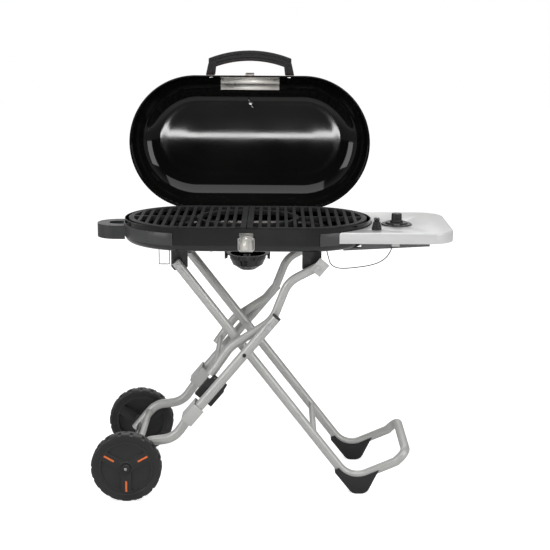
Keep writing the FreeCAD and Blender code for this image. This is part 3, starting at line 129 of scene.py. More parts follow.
def newGroup(name, sockets):
    tree = bpy.data.node_groups.new(name, "ShaderNodeTree")
    for label, direction, kind, value in sockets:
        socket = tree.interface.new_socket(label, in_out=direction, socket_type="NodeSocket" + kind)
        if value is not None:
            socket.default_value = value
    return tree, tree.nodes.new("NodeGroupInput"), tree.nodes.new("NodeGroupOutput")


def cloudGroup():
    # slow variation over a surface: a mask, and a roughness that follows it
    tree, given, out = newGroup("surfaceClouds", [
        ("Scale", "INPUT", "Float", 9.0), ("Low", "INPUT", "Float", 0.3), ("High", "INPUT", "Float", 0.4),
        ("Mask", "OUTPUT", "Float", None), ("Roughness", "OUTPUT", "Float", None)])
    place = tree.nodes.new("ShaderNodeTexCoord")
    noise = tree.nodes.new("ShaderNodeTexNoise")
    noise.inputs["Detail"].default_value = 4
    spread = tree.nodes.new("ShaderNodeMapRange")
    spread.inputs["From Min"].default_value = 0.35
    spread.inputs["From Max"].default_value = 0.65
    rough = tree.nodes.new("ShaderNodeMapRange")
    tree.links.new(place.outputs["Object"], noise.inputs["Vector"])
    tree.links.new(given.outputs["Scale"], noise.inputs["Scale"])
    tree.links.new(noise.outputs["Fac"], spread.inputs["Value"])
    tree.links.new(spread.outputs["Result"], rough.inputs["Value"])
    tree.links.new(given.outputs["Low"], rough.inputs["To Min"])
    tree.links.new(given.outputs["High"], rough.inputs["To Max"])
    tree.links.new(spread.outputs["Result"], out.inputs["Mask"])
    tree.links.new(rough.outputs["Result"], out.inputs["Roughness"])
    return tree


def grainGroup():
    # fine surface relief, stretched along an axis where a metal was brushed or drawn
    tree, given, out = newGroup("surfaceGrain", [
        ("Scale", "INPUT", "Float", 900.0), ("Stretch", "INPUT", "Vector", (1, 1, 1)),
        ("Amount", "INPUT", "Float", 0.2), ("Distance", "INPUT", "Float", 0.0004),
        ("Normal", "OUTPUT", "Vector", None), ("Mask", "OUTPUT", "Float", None)])
    place = tree.nodes.new("ShaderNodeTexCoord")
    stretched = tree.nodes.new("ShaderNodeVectorMath")
    stretched.operation = "MULTIPLY"
    noise = tree.nodes.new("ShaderNodeTexNoise")
    noise.inputs["Detail"].default_value = 2
    bump = tree.nodes.new("ShaderNodeBump")
    tree.links.new(place.outputs["Object"], stretched.inputs[0])
    tree.links.new(given.outputs["Stretch"], stretched.inputs[1])
    tree.links.new(stretched.outputs["Vector"], noise.inputs["Vector"])
    tree.links.new(given.outputs["Scale"], noise.inputs["Scale"])
    tree.links.new(noise.outputs["Fac"], bump.inputs["Height"])
    tree.links.new(given.outputs["Amount"], bump.inputs["Strength"])
    tree.links.new(given.outputs["Distance"], bump.inputs["Distance"])
    tree.links.new(bump.outputs["Normal"], out.inputs["Normal"])
    tree.links.new(noise.outputs["Fac"], out.inputs["Mask"])
    return tree


def wearGroup():
    # rubbed edges, broken up by noise, and a little dust on what faces up
    tree, given, out = newGroup("edgesAndDust", [
        ("Color", "INPUT", "Color", (0.5, 0.5, 0.5, 1)), ("Worn", "INPUT", "Color", (0.7, 0.7, 0.7, 1)),
        ("Wear", "INPUT", "Float", 0.3), ("Dust", "INPUT", "Float", 0.05),
        ("Color", "OUTPUT", "Color", None), ("Mask", "OUTPUT", "Float", None)])
    rounded = tree.nodes.new("ShaderNodeBevel")
    rounded.samples = 3
    rounded.inputs["Radius"].default_value = 0.0012
    face = tree.nodes.new("ShaderNodeNewGeometry")
    likeness = tree.nodes.new("ShaderNodeVectorMath")
    likeness.operation = "DOT_PRODUCT"
    edge = tree.nodes.new("ShaderNodeMapRange")
    edge.inputs["From Min"].default_value = 0.98
    edge.inputs["From Max"].default_value = 0.80
    noise = tree.nodes.new("ShaderNodeTexNoise")
    noise.inputs["Scale"].default_value = 120
    place = tree.nodes.new("ShaderNodeTexCoord")
    broken = tree.nodes.new("ShaderNodeMath")
    broken.operation = "MULTIPLY"
    wear = tree.nodes.new("ShaderNodeMath")
    wear.operation = "MULTIPLY"
    rub = tree.nodes.new("ShaderNodeMix")
    rub.data_type = "RGBA"
    apart = tree.nodes.new("ShaderNodeSeparateXYZ")
    lying = tree.nodes.new("ShaderNodeMapRange")
    lying.inputs["From Min"].default_value = 0.6
    dusty = tree.nodes.new("ShaderNodeMath")
    dusty.operation = "MULTIPLY"
    settled = tree.nodes.new("ShaderNodeMath")
    settled.operation = "MULTIPLY"
    film = tree.nodes.new("ShaderNodeMix")
    film.data_type = "RGBA"
    film.inputs["B"].default_value = (0.55, 0.54, 0.50, 1)
    links = tree.links
    links.new(rounded.outputs["Normal"], likeness.inputs[0])
    links.new(face.outputs["Normal"], likeness.inputs[1])
    links.new(likeness.outputs["Value"], edge.inputs["Value"])
    links.new(place.outputs["Object"], noise.inputs["Vector"])
    links.new(edge.outputs["Result"], broken.inputs[0])
    links.new(noise.outputs["Fac"], broken.inputs[1])
    links.new(broken.outputs["Value"], wear.inputs[0])
    links.new(given.outputs["Wear"], wear.inputs[1])
    links.new(wear.outputs["Value"], rub.inputs["Factor"])
    links.new(given.outputs["Color"], rub.inputs["A"])
    links.new(given.outputs["Worn"], rub.inputs["B"])
    links.new(face.outputs["Normal"], apart.inputs["Vector"])
    links.new(apart.outputs["Z"], lying.inputs["Value"])
    links.new(lying.outputs["Result"], dusty.inputs[0])
    links.new(noise.outputs["Fac"], dusty.inputs[1])
    links.new(dusty.outputs["Value"], settled.inputs[0])
    links.new(given.outputs["Dust"], settled.inputs[1])
    links.new(settled.outputs["Value"], film.inputs["Factor"])
    links.new(rub.outputs["Result"], film.inputs["A"])
    links.new(film.outputs["Result"], out.inputs["Color"])
    links.new(wear.outputs["Value"], out.inputs["Mask"])
    return tree


clouds, grain, wornEdges = cloudGroup(), grainGroup(), wearGroup()

# ---- finishes: shade, deeper shade, roughness range, metal, relief, wear
finishes = {
    "blackEnamel": dict(shade=(0.007, 0.007, 0.0068), deep=(0.005, 0.005, 0.005), rough=(0.09, 0.15), coat=0.2,
                        relief=(140, 0.05, 0.0003), worn=(0.06, 0.06, 0.06), wear=0.35, dust=0.008, cloud=6),
    "lidInside": dict(shade=(0.0060, 0.0060, 0.0057), deep=(0.0045, 0.0045, 0.0045), rough=(0.05, 0.08), shine=0.34,
                      relief=(90, 0.03, 0.0002), worn=(0.05, 0.05, 0.05), wear=0.25, dust=0.003, cloud=5),
    "orangeEnamel": dict(shade=(0.74, 0.105, 0.018), deep=(0.62, 0.075, 0.012), rough=(0.16, 0.24), coat=0.6,
                         relief=(140, 0.05, 0.0003), worn=(0.80, 0.25, 0.12), wear=0.25, dust=0.02, cloud=5),
    "castIron": dict(shade=(0.036, 0.036, 0.037), deep=(0.026, 0.026, 0.027), rough=(0.46, 0.62),
                     relief=(700, 0.35, 0.0006), worn=(0.12, 0.12, 0.12), wear=0.5, dust=0.03, cloud=22),
    "silverPaint": dict(shade=(0.54, 0.545, 0.53), deep=(0.51, 0.515, 0.50), rough=(0.38, 0.46),
                        metal=0.40, coat=0.05, relief=(1400, 0.10, 0.0002), worn=(0.75, 0.75, 0.74), wear=0.3,
                        dust=0.04, cloud=14),
    "tablePaint": dict(shade=(0.74, 0.745, 0.74), deep=(0.735, 0.74, 0.735), rough=(0.30, 0.36), metal=0.25, coat=0.2,
                       relief=(260, 0.10, 0.0004), worn=(0.9, 0.9, 0.9), wear=0.3, dust=0.03, cloud=30),
    "greyPaint": dict(shade=(0.050, 0.051, 0.053), deep=(0.042, 0.043, 0.045), rough=(0.38, 0.50), coat=0.1,
                      relief=(1200, 0.15, 0.0003), worn=(0.14, 0.14, 0.14), wear=0.4, dust=0.05, cloud=18),
    "blackPaint": dict(shade=(0.016, 0.016, 0.016), deep=(0.010, 0.010, 0.010), rough=(0.34, 0.46), coat=0.15,
                       relief=(1000, 0.12, 0.0003), worn=(0.09, 0.09, 0.09), wear=0.4, dust=0.03, cloud=20),
    "darkHinge": dict(shade=(0.030, 0.030, 0.030), deep=(0.020, 0.020, 0.020), rough=(0.28, 0.38), metal=0.5,
                      relief=(900, 0.1, 0.0002), worn=(0.5, 0.5, 0.49), wear=1.4, dust=0.01, cloud=30),
    "railPaint": dict(shade=(0.16, 0.16, 0.163), deep=(0.12, 0.12, 0.122), rough=(0.36, 0.46), metal=0.2,
                      relief=(1000, 0.12, 0.0003), worn=(0.3, 0.3, 0.3), wear=0.3, dust=0.03, cloud=20),
    "mouldedBlack": dict(shade=(0.014, 0.014, 0.0145), deep=(0.010, 0.010, 0.0105), rough=(0.40, 0.52),
                         relief=(1600, 0.22, 0.0003), worn=(0.07, 0.07, 0.07), wear=0.5, dust=0.05, cloud=16),
    "mouldedGrey": dict(shade=(0.038, 0.039, 0.042), deep=(0.030, 0.031, 0.033), rough=(0.36, 0.48),
                        relief=(1500, 0.22, 0.0003), worn=(0.13, 0.13, 0.135), wear=0.4, dust=0.05, cloud=16),
    "glossBlack": dict(shade=(0.012, 0.012, 0.012), deep=(0.008, 0.008, 0.008), rough=(0.14, 0.22), coat=0.4,
                       relief=(500, 0.04, 0.0002), worn=(0.05, 0.05, 0.05), wear=0.4, dust=0.03, cloud=16),
    "wheelBlack": dict(shade=(0.017, 0.0175, 0.0175), deep=(0.012, 0.0125, 0.0125), rough=(0.40, 0.54),
                       relief=(1300, 0.25, 0.0004), worn=(0.10, 0.10, 0.10), wear=0.45, dust=0.06, cloud=20),
    "footRubber": dict(shade=(0.020, 0.020, 0.020), deep=(0.012, 0.012, 0.012), rough=(0.55, 0.72),
                       relief=(900, 0.3, 0.0004), worn=(0.08, 0.08, 0.08), wear=0.4, dust=0.08, cloud=22),
    "orangePlastic": dict(shade=(0.92, 0.20, 0.045), deep=(0.86, 0.17, 0.038), rough=(0.30, 0.42),
                          relief=(1200, 0.08, 0.0002), worn=(0.9, 0.3, 0.15), wear=0.3, dust=0.03, cloud=30),
    "brushedSteel": dict(shade=(0.66, 0.64, 0.60), deep=(0.56, 0.545, 0.51), rough=(0.24, 0.36), metal=1.0,
                         relief=(700, 0.16, 0.0002), stretch=(0.06, 1, 1), worn=(0.8, 0.8, 0.78), wear=0.3,
                         dust=0.02, cloud=24),
    "plainNut": dict(shade=(0.80, 0.80, 0.79), deep=(0.70, 0.70, 0.69), rough=(0.22, 0.32), metal=0.9,
                     relief=(900, 0.06, 0.0002), worn=(0.9, 0.9, 0.9), wear=0.3, dust=0.01, cloud=60),
    "zincSteel": dict(shade=(0.56, 0.56, 0.56), deep=(0.46, 0.46, 0.465), rough=(0.28, 0.40), metal=1.0,
                      relief=(900, 0.12, 0.0002), worn=(0.75, 0.75, 0.75), wear=0.3, dust=0.03, cloud=40),
    "heatedSteel": dict(shade=(0.30, 0.28, 0.26), deep=(0.20, 0.18, 0.18), rough=(0.34, 0.52), metal=0.9,
                        relief=(800, 0.2, 0.0003), worn=(0.4, 0.4, 0.4), wear=0.3, dust=0.02, cloud=26),
    "brass": dict(shade=(0.72, 0.52, 0.22), deep=(0.60, 0.42, 0.18), rough=(0.24, 0.36), metal=1.0,
                  relief=(900, 0.1, 0.0002), worn=(0.85, 0.7, 0.4), wear=0.3, dust=0.02, cloud=40),
    "whiteNylon": dict(shade=(0.80, 0.80, 0.78), deep=(0.72, 0.72, 0.70), rough=(0.34, 0.46),
                       relief=(1200, 0.1, 0.0002), worn=(0.85, 0.85, 0.85), wear=0.2, dust=0.03, cloud=30),
    "linkPaint": dict(shade=(0.56, 0.565, 0.55), deep=(0.52, 0.525, 0.51), rough=(0.32, 0.42), metal=0.2, coat=0.1,
                      relief=(1200, 0.10, 0.0002), worn=(0.8, 0.8, 0.8), wear=0.3, dust=0.03, cloud=20),
    "studioFloor": dict(shade=(0.80, 0.80, 0.795), deep=(0.79, 0.79, 0.785), rough=(0.75, 0.85),
                        relief=(60, 0.02, 0.0003), worn=(0.93, 0.93, 0.93), wear=0.0, dust=0.0, cloud=1.2),
}
made = {}


def finish(name):
    if name in made:
        return made[name]
    look = finishes[name]
    material = bpy.data.materials.new(name)
    material.use_nodes = True
    tree = material.node_tree
    surface = tree.nodes["Principled BSDF"]
    surface.inputs["Metallic"].default_value = look.get("metal", 0.0)
    surface.inputs["Coat Weight"].default_value = look.get("coat", 0.0)
    surface.inputs["Coat Roughness"].default_value = 0.08
    surface.inputs["Specular IOR Level"].default_value = look.get("shine", 0.5)
    surface.inputs["Emission Color"].default_value = (1, 1, 1, 1)
    cloud = tree.nodes.new("ShaderNodeGroup")
    cloud.node_tree = clouds
    cloud.inputs["Scale"].default_value = look["cloud"]
    cloud.inputs["Low"].default_value, cloud.inputs["High"].default_value = look["rough"]
    tone = tree.nodes.new("ShaderNodeMix")
    tone.data_type = "RGBA"
    tone.inputs["A"].default_value = (*look["deep"], 1)
    tone.inputs["B"].default_value = (*look["shade"], 1)
    relief = tree.nodes.new("ShaderNodeGroup")
    relief.node_tree = grain
    for label, value in zip(("Scale", "Amount", "Distance"), look["relief"]):
        relief.inputs[label].default_value = value
    relief.inputs["Stretch"].default_value = look.get("stretch", (1, 1, 1))
    edges = tree.nodes.new("ShaderNodeGroup")
    edges.node_tree = wornEdges
    edges.inputs["Worn"].default_value = (*look["worn"], 1)
    edges.inputs["Wear"].default_value = look["wear"]
    edges.inputs["Dust"].default_value = look["dust"]
    links = tree.links
    links.new(cloud.outputs["Mask"], tone.inputs["Factor"])
    links.new(tone.outputs["Result"], edges.inputs["Color"])
    links.new(edges.outputs["Color"], surface.inputs["Base Color"])
    links.new(cloud.outputs["Roughness"], surface.inputs["Roughness"])
    links.new(relief.outputs["Normal"], surface.inputs["Normal"])
    made[name] = material
    return material


print("finishes ready")

# ---- modelling helpers


def nothingSelected():
    if bpy.context.object and bpy.context.object.mode != "OBJECT":
        bpy.ops.object.mode_set(mode="OBJECT")
    bpy.ops.object.select_all(action="DESELECT")


def onlyThis(piece):
    nothingSelected()
    piece.select_set(True)
    bpy.context.view_layer.objects.active = piece


def settle(piece, name):
    # the place goes into the mesh, the object stays at the origin
    piece.name = name
    onlyThis(piece)
    bpy.ops.object.transform_apply(location=True, rotation=True, scale=True)
    return piece


def newBlock(name, low, high, turn=(0, 0, 0)):
    nothingSelected()
    low, high = Vector(low), Vector(high)
    bpy.ops.mesh.primitive_cube_add(size=1, location=(low + high) / 2, rotation=turn)
    piece = bpy.context.object
    piece.scale = high - low
    return settle(piece, name)


def newRod(name, radius, start, end, sides=32):
    nothingSelected()
    start, end = Vector(start), Vector(end)
    along = end - start
    turn = along.to_track_quat("Z", "Y").to_euler()
    bpy.ops.mesh.primitive_cylinder_add(vertices=sides, radius=radius, depth=along.length,
                                        location=(start + end) / 2, rotation=turn)
    return settle(bpy.context.object, name)


def pick(piece, kind, test):
    # select faces, edges or points in code, and stay in edit mode
    onlyThis(piece)
    bpy.ops.object.mode_set(mode="EDIT")
    bpy.ops.mesh.select_mode(type=kind)
    bpy.ops.mesh.select_all(action="DESELECT")
    bpy.ops.object.mode_set(mode="OBJECT")
    mesh = piece.data
    if kind == "FACE":
        for face in mesh.polygons:
            face.select = bool(test(face.center, face.normal))
    elif kind == "EDGE":
        for edge in mesh.edges:
            edge.select = bool(test(mesh.vertices[edge.vertices[0]].co, mesh.vertices[edge.vertices[1]].co))
    else:
        for point in mesh.vertices:
            point.select = bool(test(point.co))
    bpy.ops.object.mode_set(mode="EDIT")


def outOfEdit():
    bpy.ops.object.mode_set(mode="OBJECT")


def turnedForm(name, profile, centre, along, sides=64, openEnd=False, openFoot=False):
    # a round form: a circle is extruded and scaled ring by ring along one axis
    nothingSelected()
    radius, height = profile[0]
    centre, along = Vector(centre), Vector(along)
    turn = along.to_track_quat("Z", "Y").to_euler()
    bpy.ops.mesh.primitive_circle_add(vertices=sides, radius=radius, location=centre + along * height, rotation=turn)
    piece = settle(bpy.context.object, name)
    bpy.ops.object.mode_set(mode="EDIT")
    bpy.ops.mesh.select_all(action="SELECT")
    if not openEnd:
        bpy.ops.mesh.edge_face_add()
    for nextRadius, nextHeight in profile[1:]:
        bpy.ops.mesh.extrude_region_move(TRANSFORM_OT_translate={"value": along * (nextHeight - height)})
        grow = nextRadius / radius
        stretch = [1 if abs(part) > 0.5 else grow for part in along]
        bpy.ops.transform.resize(value=stretch, center_override=centre + along * nextHeight)
        radius, height = nextRadius, nextHeight
    if openFoot:
        bpy.ops.mesh.delete(type="ONLY_FACE")
    bpy.ops.mesh.select_all(action="SELECT")
    bpy.ops.mesh.remove_doubles(threshold=0.00001)
    bpy.ops.mesh.normals_make_consistent(inside=False)
    outOfEdit()
    return piece


def applied(piece, kind, **settings):
    onlyThis(piece)
    modifier = piece.modifiers.new("shaping", kind)
    for key, value in settings.items():
        setattr(modifier, key, value)
    bpy.ops.object.modifier_apply(modifier=modifier.name)
    return piece


def softEdges(piece, width, segments=2, angle=32):
    return applied(piece, "BEVEL", width=width, segments=segments, limit_method="ANGLE",
                   angle_limit=math.radians(angle), harden_normals=False)


def cutBy(piece, cutter):
    applied(piece, "BOOLEAN", operation="DIFFERENCE", solver="EXACT", object=cutter)
    bpy.data.objects.remove(cutter)
    return piece


def joined(name, *items):
    nothingSelected()
    for item in items:
        item.select_set(True)
    bpy.context.view_layer.objects.active = items[0]
    if len(items) > 1:
        bpy.ops.object.join()
    items[0].name = name
    return items[0]


def copied(piece, name):
    onlyThis(piece)
    bpy.ops.object.duplicate(linked=False)
    double = bpy.context.object
    double.name = name
    return double


def put(piece, look, body, stands=(), smooth=35):
    onlyThis(piece)
    bpy.ops.object.shade_smooth_by_angle(angle=math.radians(smooth))
    looks = [look] if isinstance(look, str) else look
    if len(piece.material_slots) < len(looks):
        piece.data.materials.clear()
        for entry in looks:
            piece.data.materials.append(finish(entry))
    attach(piece, body)
    if stands:
        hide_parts(*stands)
    return piece


bodyOf = {node: body for body, members in frame["record"]["behaviour"]["bodies"].items() for node in members}


def roundedNode(node, width, look, segments=2, angle=32, smooth=35):
    # a copy of a CAD node with its sheet or moulded edges broken
    onlyThis(nodes[node])
    bpy.ops.object.duplicate(linked=False)
    piece = bpy.context.object
    piece.name = node + ".finished"
    piece.parent = None
    for key in list(piece.keys()):
        del piece[key]
    piece.data.materials.clear()
    onlyThis(piece)
    bpy.ops.object.mode_set(mode="EDIT")
    bpy.ops.mesh.select_all(action="SELECT")
    bpy.ops.mesh.remove_doubles(threshold=0.00001)
    bpy.ops.mesh.dissolve_limited(angle_limit=math.radians(1.5))
    outOfEdit()
    softEdges(piece, width, segments, angle)
    return put(piece, look, bodyOf[node], (node,), smooth)


def dressNode(node, look):
    nodes[node].data.materials.clear()
    nodes[node].data.materials.append(finish(look))


# ---- igniter wire, a smooth curve through the air
wireRoute = {
    "points": [(366, -109, 651.6), (361, -109, 636), (346, -110, 617), (318, -111, 604), (272, -112, 597),
               (232, -112, 594), (211, -111, 604), (205, -110, 625), (201, -109, 640.6)],
    "radius": 0.00125,
    "length": 0.217,
}
wireCurve = bpy.data.curves.new("igniterWire", "CURVE")
wireCurve.dimensions = "3D"
wireLine = wireCurve.splines.new("NURBS")
wireLine.points.add(len(wireRoute["points"]) - 1)
for point, place in zip(wireLine.points, wireRoute["points"]):
    point.co = (*spot(*place), 1)
wireLine.order_u = 3
wireLine.use_endpoint_u = True
wireLine.resolution_u = 12
wireCurve.bevel_depth = wireRoute["radius"]
wireCurve.bevel_resolution = 3
wireCurve.use_fill_caps = True
igniterWire = bpy.data.objects.new("igniterWire", wireCurve)
bpy.context.collection.objects.link(igniterWire)
wireCurve.materials.append(finish("mouldedBlack"))
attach(igniterWire, "grill")
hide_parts("igniter_wire")
print("igniter wire laid")

# ---- floor
nothingSelected()
bpy.ops.mesh.primitive_plane_add(size=24, location=(0, 0, 0))
floor = bpy.context.object
floor.name = "studioFloor"
floorFinish = finish("studioFloor")
floorRay = floorFinish.node_tree.nodes.new("ShaderNodeLightPath")
floorGlow = floorFinish.node_tree.nodes.new("ShaderNodeMath")
floorGlow.operation = "MULTIPLY"
floorGlow.inputs[1].default_value = 0.75
floorSurface = floorFinish.node_tree.nodes["Principled BSDF"]
floorFinish.node_tree.links.new(floorRay.outputs["Is Camera Ray"], floorGlow.inputs[0])
floorFinish.node_tree.links.new(floorGlow.outputs["Value"], floorSurface.inputs["Emission Strength"])
floor.data.materials.append(floorFinish)

# ---- more helpers: rings, copies across the middle, turns about a point


def ringedForm(name, profile, centre, along, sides=64):
    # a ring with a hole: the outline closes on itself
    return turnedForm(name, profile + profile[:1], centre, along, sides, openEnd=True)


def moved(piece, place):
    piece.matrix_world = place
    return settle(piece, piece.name)


def normalsOut(piece):
    onlyThis(piece)
    bpy.ops.object.mode_set(mode="EDIT")
    bpy.ops.mesh.select_all(action="SELECT")
    bpy.ops.mesh.normals_make_consistent(inside=False)
    outOfEdit()
    return piece


def mirroredCopy(piece, name, flip):
    return normalsOut(moved(copied(piece, name), flip))


def turnAbout(point, axis, degrees):
    point = Vector(point)
    turn = Matrix.Rotation(math.radians(degrees), 4, Vector(axis))
    return Matrix.Translation(point) @ turn @ Matrix.Translation(-point)


def mirrorAbout(point, scale):
    return Matrix.Translation(point) @ Matrix.Diagonal((*scale, 1)) @ Matrix.Translation(-point)


def spread(base, look):
    base.data.materials.clear()
    base.data.materials.append(finish(look))
    return base


# the grill's own mirror plane, between front and back
acrossMiddle = mirrorAbout(Vector((0, hearthMiddle.y, 0)), (1, -1, 1))

# ---- wheels: tyre with lugs, rim with three sunk panels, orange inserts
wheelForm = {
    "axle": spot(-305, -184, 90),
    "tyreProfile": [(0.0705, -0.0145), (0.0725, -0.0160), (0.0815, -0.0172), (0.0835, -0.0187), (0.0875, -0.0168),
                    (0.0900, -0.0120), (0.0900, 0.0120), (0.0875, 0.0168), (0.0835, 0.0187), (0.0815, 0.0172),
                    (0.0725, 0.0160), (0.0705, 0.0145)],
    "lugs": 18,
    "grooveWidth": 0.0085,
    "grooveFrom": 0.0868,
    "grooveTo": 0.096,
    "rimRadius": 0.0708,
    "faceOut": 0.0142,
    "panelRadius": 0.0640,
    "panelHub": 0.0190,
    "spokeWidth": 0.0270,
    "outerDepth": 0.0050,
    "innerDepth": 0.0110,
    "spokeTurns": (30, 150, 270),
    "insertSpan": (0.0350, 0.0640),
    "insertWidth": 0.0048,
    "boss": [(0.0165, -0.0165), (0.0180, -0.0150), (0.0180, 0.0165), (0.0150, 0.0178)],
}


def radialBlock(name, wheel, reach, width, low, high, degrees):
    # a block that points out from the axle, turned about it
    axle = wheel["axle"]
    piece = newBlock(name, axle + Vector((reach[0], low, -width / 2)), axle + Vector((reach[1], high, width / 2)))
    return moved(piece, turnAbout(axle, (0, -1, 0), degrees))


def wheelTyre(wheel):
    axle = wheel["axle"]
    tyre = ringedForm("tyreFinished", wheel["tyreProfile"], axle, frontToBack, 108)
    grooves = []
    for number in range(wheel["lugs"]):
        bearing = 360 * number / wheel["lugs"]
        for low, high, shift in ((-0.022, 0.001, 0), (-0.001, 0.022, 0.5)):
            turn = bearing + shift * 360 / wheel["lugs"]
            span = (wheel["grooveFrom"], wheel["grooveTo"])
            grooves.append(radialBlock("groove", wheel, span, wheel["grooveWidth"], low, high, turn))
    cutBy(tyre, joined("grooves", *grooves))
    return softEdges(tyre, 0.0007, 2, 30)


def wheelPanels(wheel, low, high):
    # three sectors between the spokes
    axle = wheel["axle"]
    past = 0.01
    near, far = low - past, high + past
    sectors = newRod("panelCutter", wheel["panelRadius"], axle + frontToBack * low, axle + frontToBack * high, 72)
    cutBy(sectors, newRod("hubKeep", wheel["panelHub"], axle + frontToBack * near, axle + frontToBack * far, 48))
    for turn in wheel["spokeTurns"]:
        cutBy(sectors, radialBlock("spokeKeep", wheel, (0, 0.09), wheel["spokeWidth"], near, far, turn))
    return softEdges(sectors, 0.0028, 3, 30)


def wheelRim(wheel):
    axle = wheel["axle"]
    out = wheel["faceOut"]
    rim = newRod("rimFinished", wheel["rimRadius"], axle + Vector((0, -out, 0)), axle + Vector((0, out, 0)), 108)
    cutBy(rim, wheelPanels(wheel, -out - 0.02, -out + wheel["outerDepth"]))
    cutBy(rim, wheelPanels(wheel, out - wheel["innerDepth"], out + 0.02))
    softEdges(rim, 0.0012, 2, 30)
    boss = turnedForm("hubBoss", wheel["boss"], axle, frontToBack, 48)
    return joined("rimFinished", rim, boss)


def wheelInserts(wheel):
    out = wheel["faceOut"]
    span, width = wheel["insertSpan"], wheel["insertWidth"]
    items = [radialBlock("insert", wheel, span, width, -out - 0.0012, -out + 0.004, turn)
             for turn in wheel["spokeTurns"]]
    return softEdges(joined("insertsFinished", *items), 0.0009, 2, 30)


for build, label, look in ((wheelTyre, "tyre", "wheelBlack"), (wheelRim, "wheel_rim", "wheelBlack"),
                           (wheelInserts, "wheel_inserts", "orangePlastic")):
    front = build(wheelForm)
    front.name = label + "_front.finished"
    rear = mirroredCopy(front, label + "_rear.finished", acrossMiddle)
    for piece, node in ((front, label + "_front"), (rear, label + "_rear")):
        put(piece, look, bodyOf[node], (node,), 30)
print("wheels made")

# ---- axle with its black caps and small screws
axleForm = {
    "radius": 0.0059,
    "barHalf": 0.205,
    "cap": [(0.0125, 0.2025), (0.0125, 0.2055), (0.0105, 0.2078), (0.0045, 0.2086), (0.0042, 0.2070)],
    "screw": [(0.0038, 0.2070), (0.0038, 0.2078), (0.0028, 0.2085)],
}


def axleParts(form):
    axle = spot(-305, 0, 90)
    reach = frontToBack * form["barHalf"]
    items = [spread(newRod("axleBar", form["radius"], axle - reach, axle + reach), "zincSteel")]
    for side in (-1, 1):
        cap = turnedForm("axleCap", form["cap"], axle, frontToBack * side, 40)
        items.append(spread(cap, "mouldedBlack"))
        screw = turnedForm("axleScrew", form["screw"], axle, frontToBack * side, 24)
        items.append(spread(screw, "zincSteel"))
    return joined("wheel_axle.finished", *items)


put(axleParts(axleForm), ["zincSteel", "mouldedBlack"], "leg", ("wheel_axle",))

# ---- lid: one smooth pressed shell, orange outside and black inside, with a stepped rim and vent slots
lidForm = {
    "halfDepth": 0.1819,
    "endShift": 0.1455,
    "wall": 0.0016,
    "sides": 128,
    "profile": [(0.1819, 0.6980), (0.1819, 0.7030), (0.1812, 0.7041), (0.1796, 0.7047), (0.1790, 0.7056),
                (0.1782, 0.7350), (0.1772, 0.7570)],
    "crownCentre": (0.0972, 0.7570),
    "crownRadius": (0.0800, 0.0705),
    "crownSteps": 18,
    "topRadii": [(0.0850, 0.8287), (0.0700, 0.8300), (0.0500, 0.8312), (0.0300, 0.8322), (0.0120, 0.8328)],
    "hinge": spot(0, 186, 689),
    "openAngle": -91.2,
    "ventsEachSide": 10,
    "ventFirst": -5,
    "ventStep": 5.2,
    "ventSize": (0.0090, 0.016, 0.0072),
    "ventLevel": 0.7120,
    "ventInset": 0.003,
}


def lidOutline(form):
    outline = list(form["profile"])
    middle, level = form["crownCentre"]
    across, up = form["crownRadius"]
    for step in range(1, form["crownSteps"] + 1):
        bearing = math.pi / 2 * step / form["crownSteps"]
        outline.append((middle + across * math.cos(bearing), level + up * math.sin(bearing)))
    return outline + form["topRadii"]


def lidShell(form):
    outline = lidOutline(form)
    middle = Vector((hearthMiddle.x, hearthMiddle.y, 0))
    shell = turnedForm("lidFinished", list(reversed(outline)), middle, upwards, form["sides"], openFoot=True)
    # half a step round, so that no point lies on the split line
    moved(shell, turnAbout(middle, (0, 0, 1), 180 / form["sides"]))
    for side in (-1, 1):
        pick(shell, "VERT", lambda place: (place.x - middle.x) * side > 0.00001)
        bpy.ops.transform.translate(value=(side * form["endShift"], 0, 0))
        outOfEdit()
    normalsOut(shell)
    crownFace = max(shell.data.polygons, key=lambda face: face.center.z)
    if crownFace.normal.z < 0:
        bpy.ops.object.mode_set(mode="EDIT")
        bpy.ops.mesh.flip_normals()
        outOfEdit()
    shell.data.materials.append(finish("orangeEnamel"))
    shell.data.materials.append(finish("lidInside"))
    applied(shell, "SOLIDIFY", thickness=form["wall"], offset=-1, material_offset=1, material_offset_rim=1)
    vents = []
    wide, deep, high = form["ventSize"]
    for side in (-1, 1):
        for number in range(form["ventsEachSide"]):
            bearing = math.radians(90 - side * (form["ventFirst"] + form["ventStep"] * number))
            away = Vector((math.cos(bearing), math.sin(bearing), 0))
            place = middle + Vector((side * form["endShift"], 0, form["ventLevel"]))
            place += away * (form["halfDepth"] - form["ventInset"])
            slot = newBlock("vent", (-wide / 2, -deep / 2, -high / 2), (wide / 2, deep / 2, high / 2))
            vents.append(moved(slot, Matrix.Translation(place) @ Matrix.Rotation(bearing - math.pi / 2, 4, "Z")))
    slots = joined("ventSlots", *vents)
    softEdges(slots, 0.0018, 3, 30)
    slots.data.materials.append(finish("orangeEnamel"))
    slots.data.materials.append(finish("lidInside"))
    for face in slots.data.polygons:
        face.material_index = 1
    return cutBy(shell, slots)


lidOpen = turnAbout(lidForm["hinge"], (1, 0, 0), lidForm["openAngle"])
shell = moved(lidShell(lidForm), lidOpen)
put(shell, ["orangeEnamel", "lidInside"], "lid", ("lid_shell",), 34)
print("lid shell made,", len(shell.data.polygons), "faces")

# ---- lid handle: an arched ribbed grip on two tapered fluted posts, drawn on the shut lid
handleForm = {
    "gripLevel": (0.7200, 0.7460),
    "archMiddle": spot(0, 57, 0),
    "archRadii": (0.2770, 0.3048),
    "gripHalf": 0.1120,
    "groove": 0.0016,
    "postFoot": (0.0950, 0.1200),
    "postTop": (0.0910, 0.1125),
    "postReach": (-0.1815, -0.2150),
    "nutRadius": 0.0052,
    "nutSpan": (Vector((0.1065, -0.1795, 0.7330)), Vector((0.1065, -0.1750, 0.7330))),
}


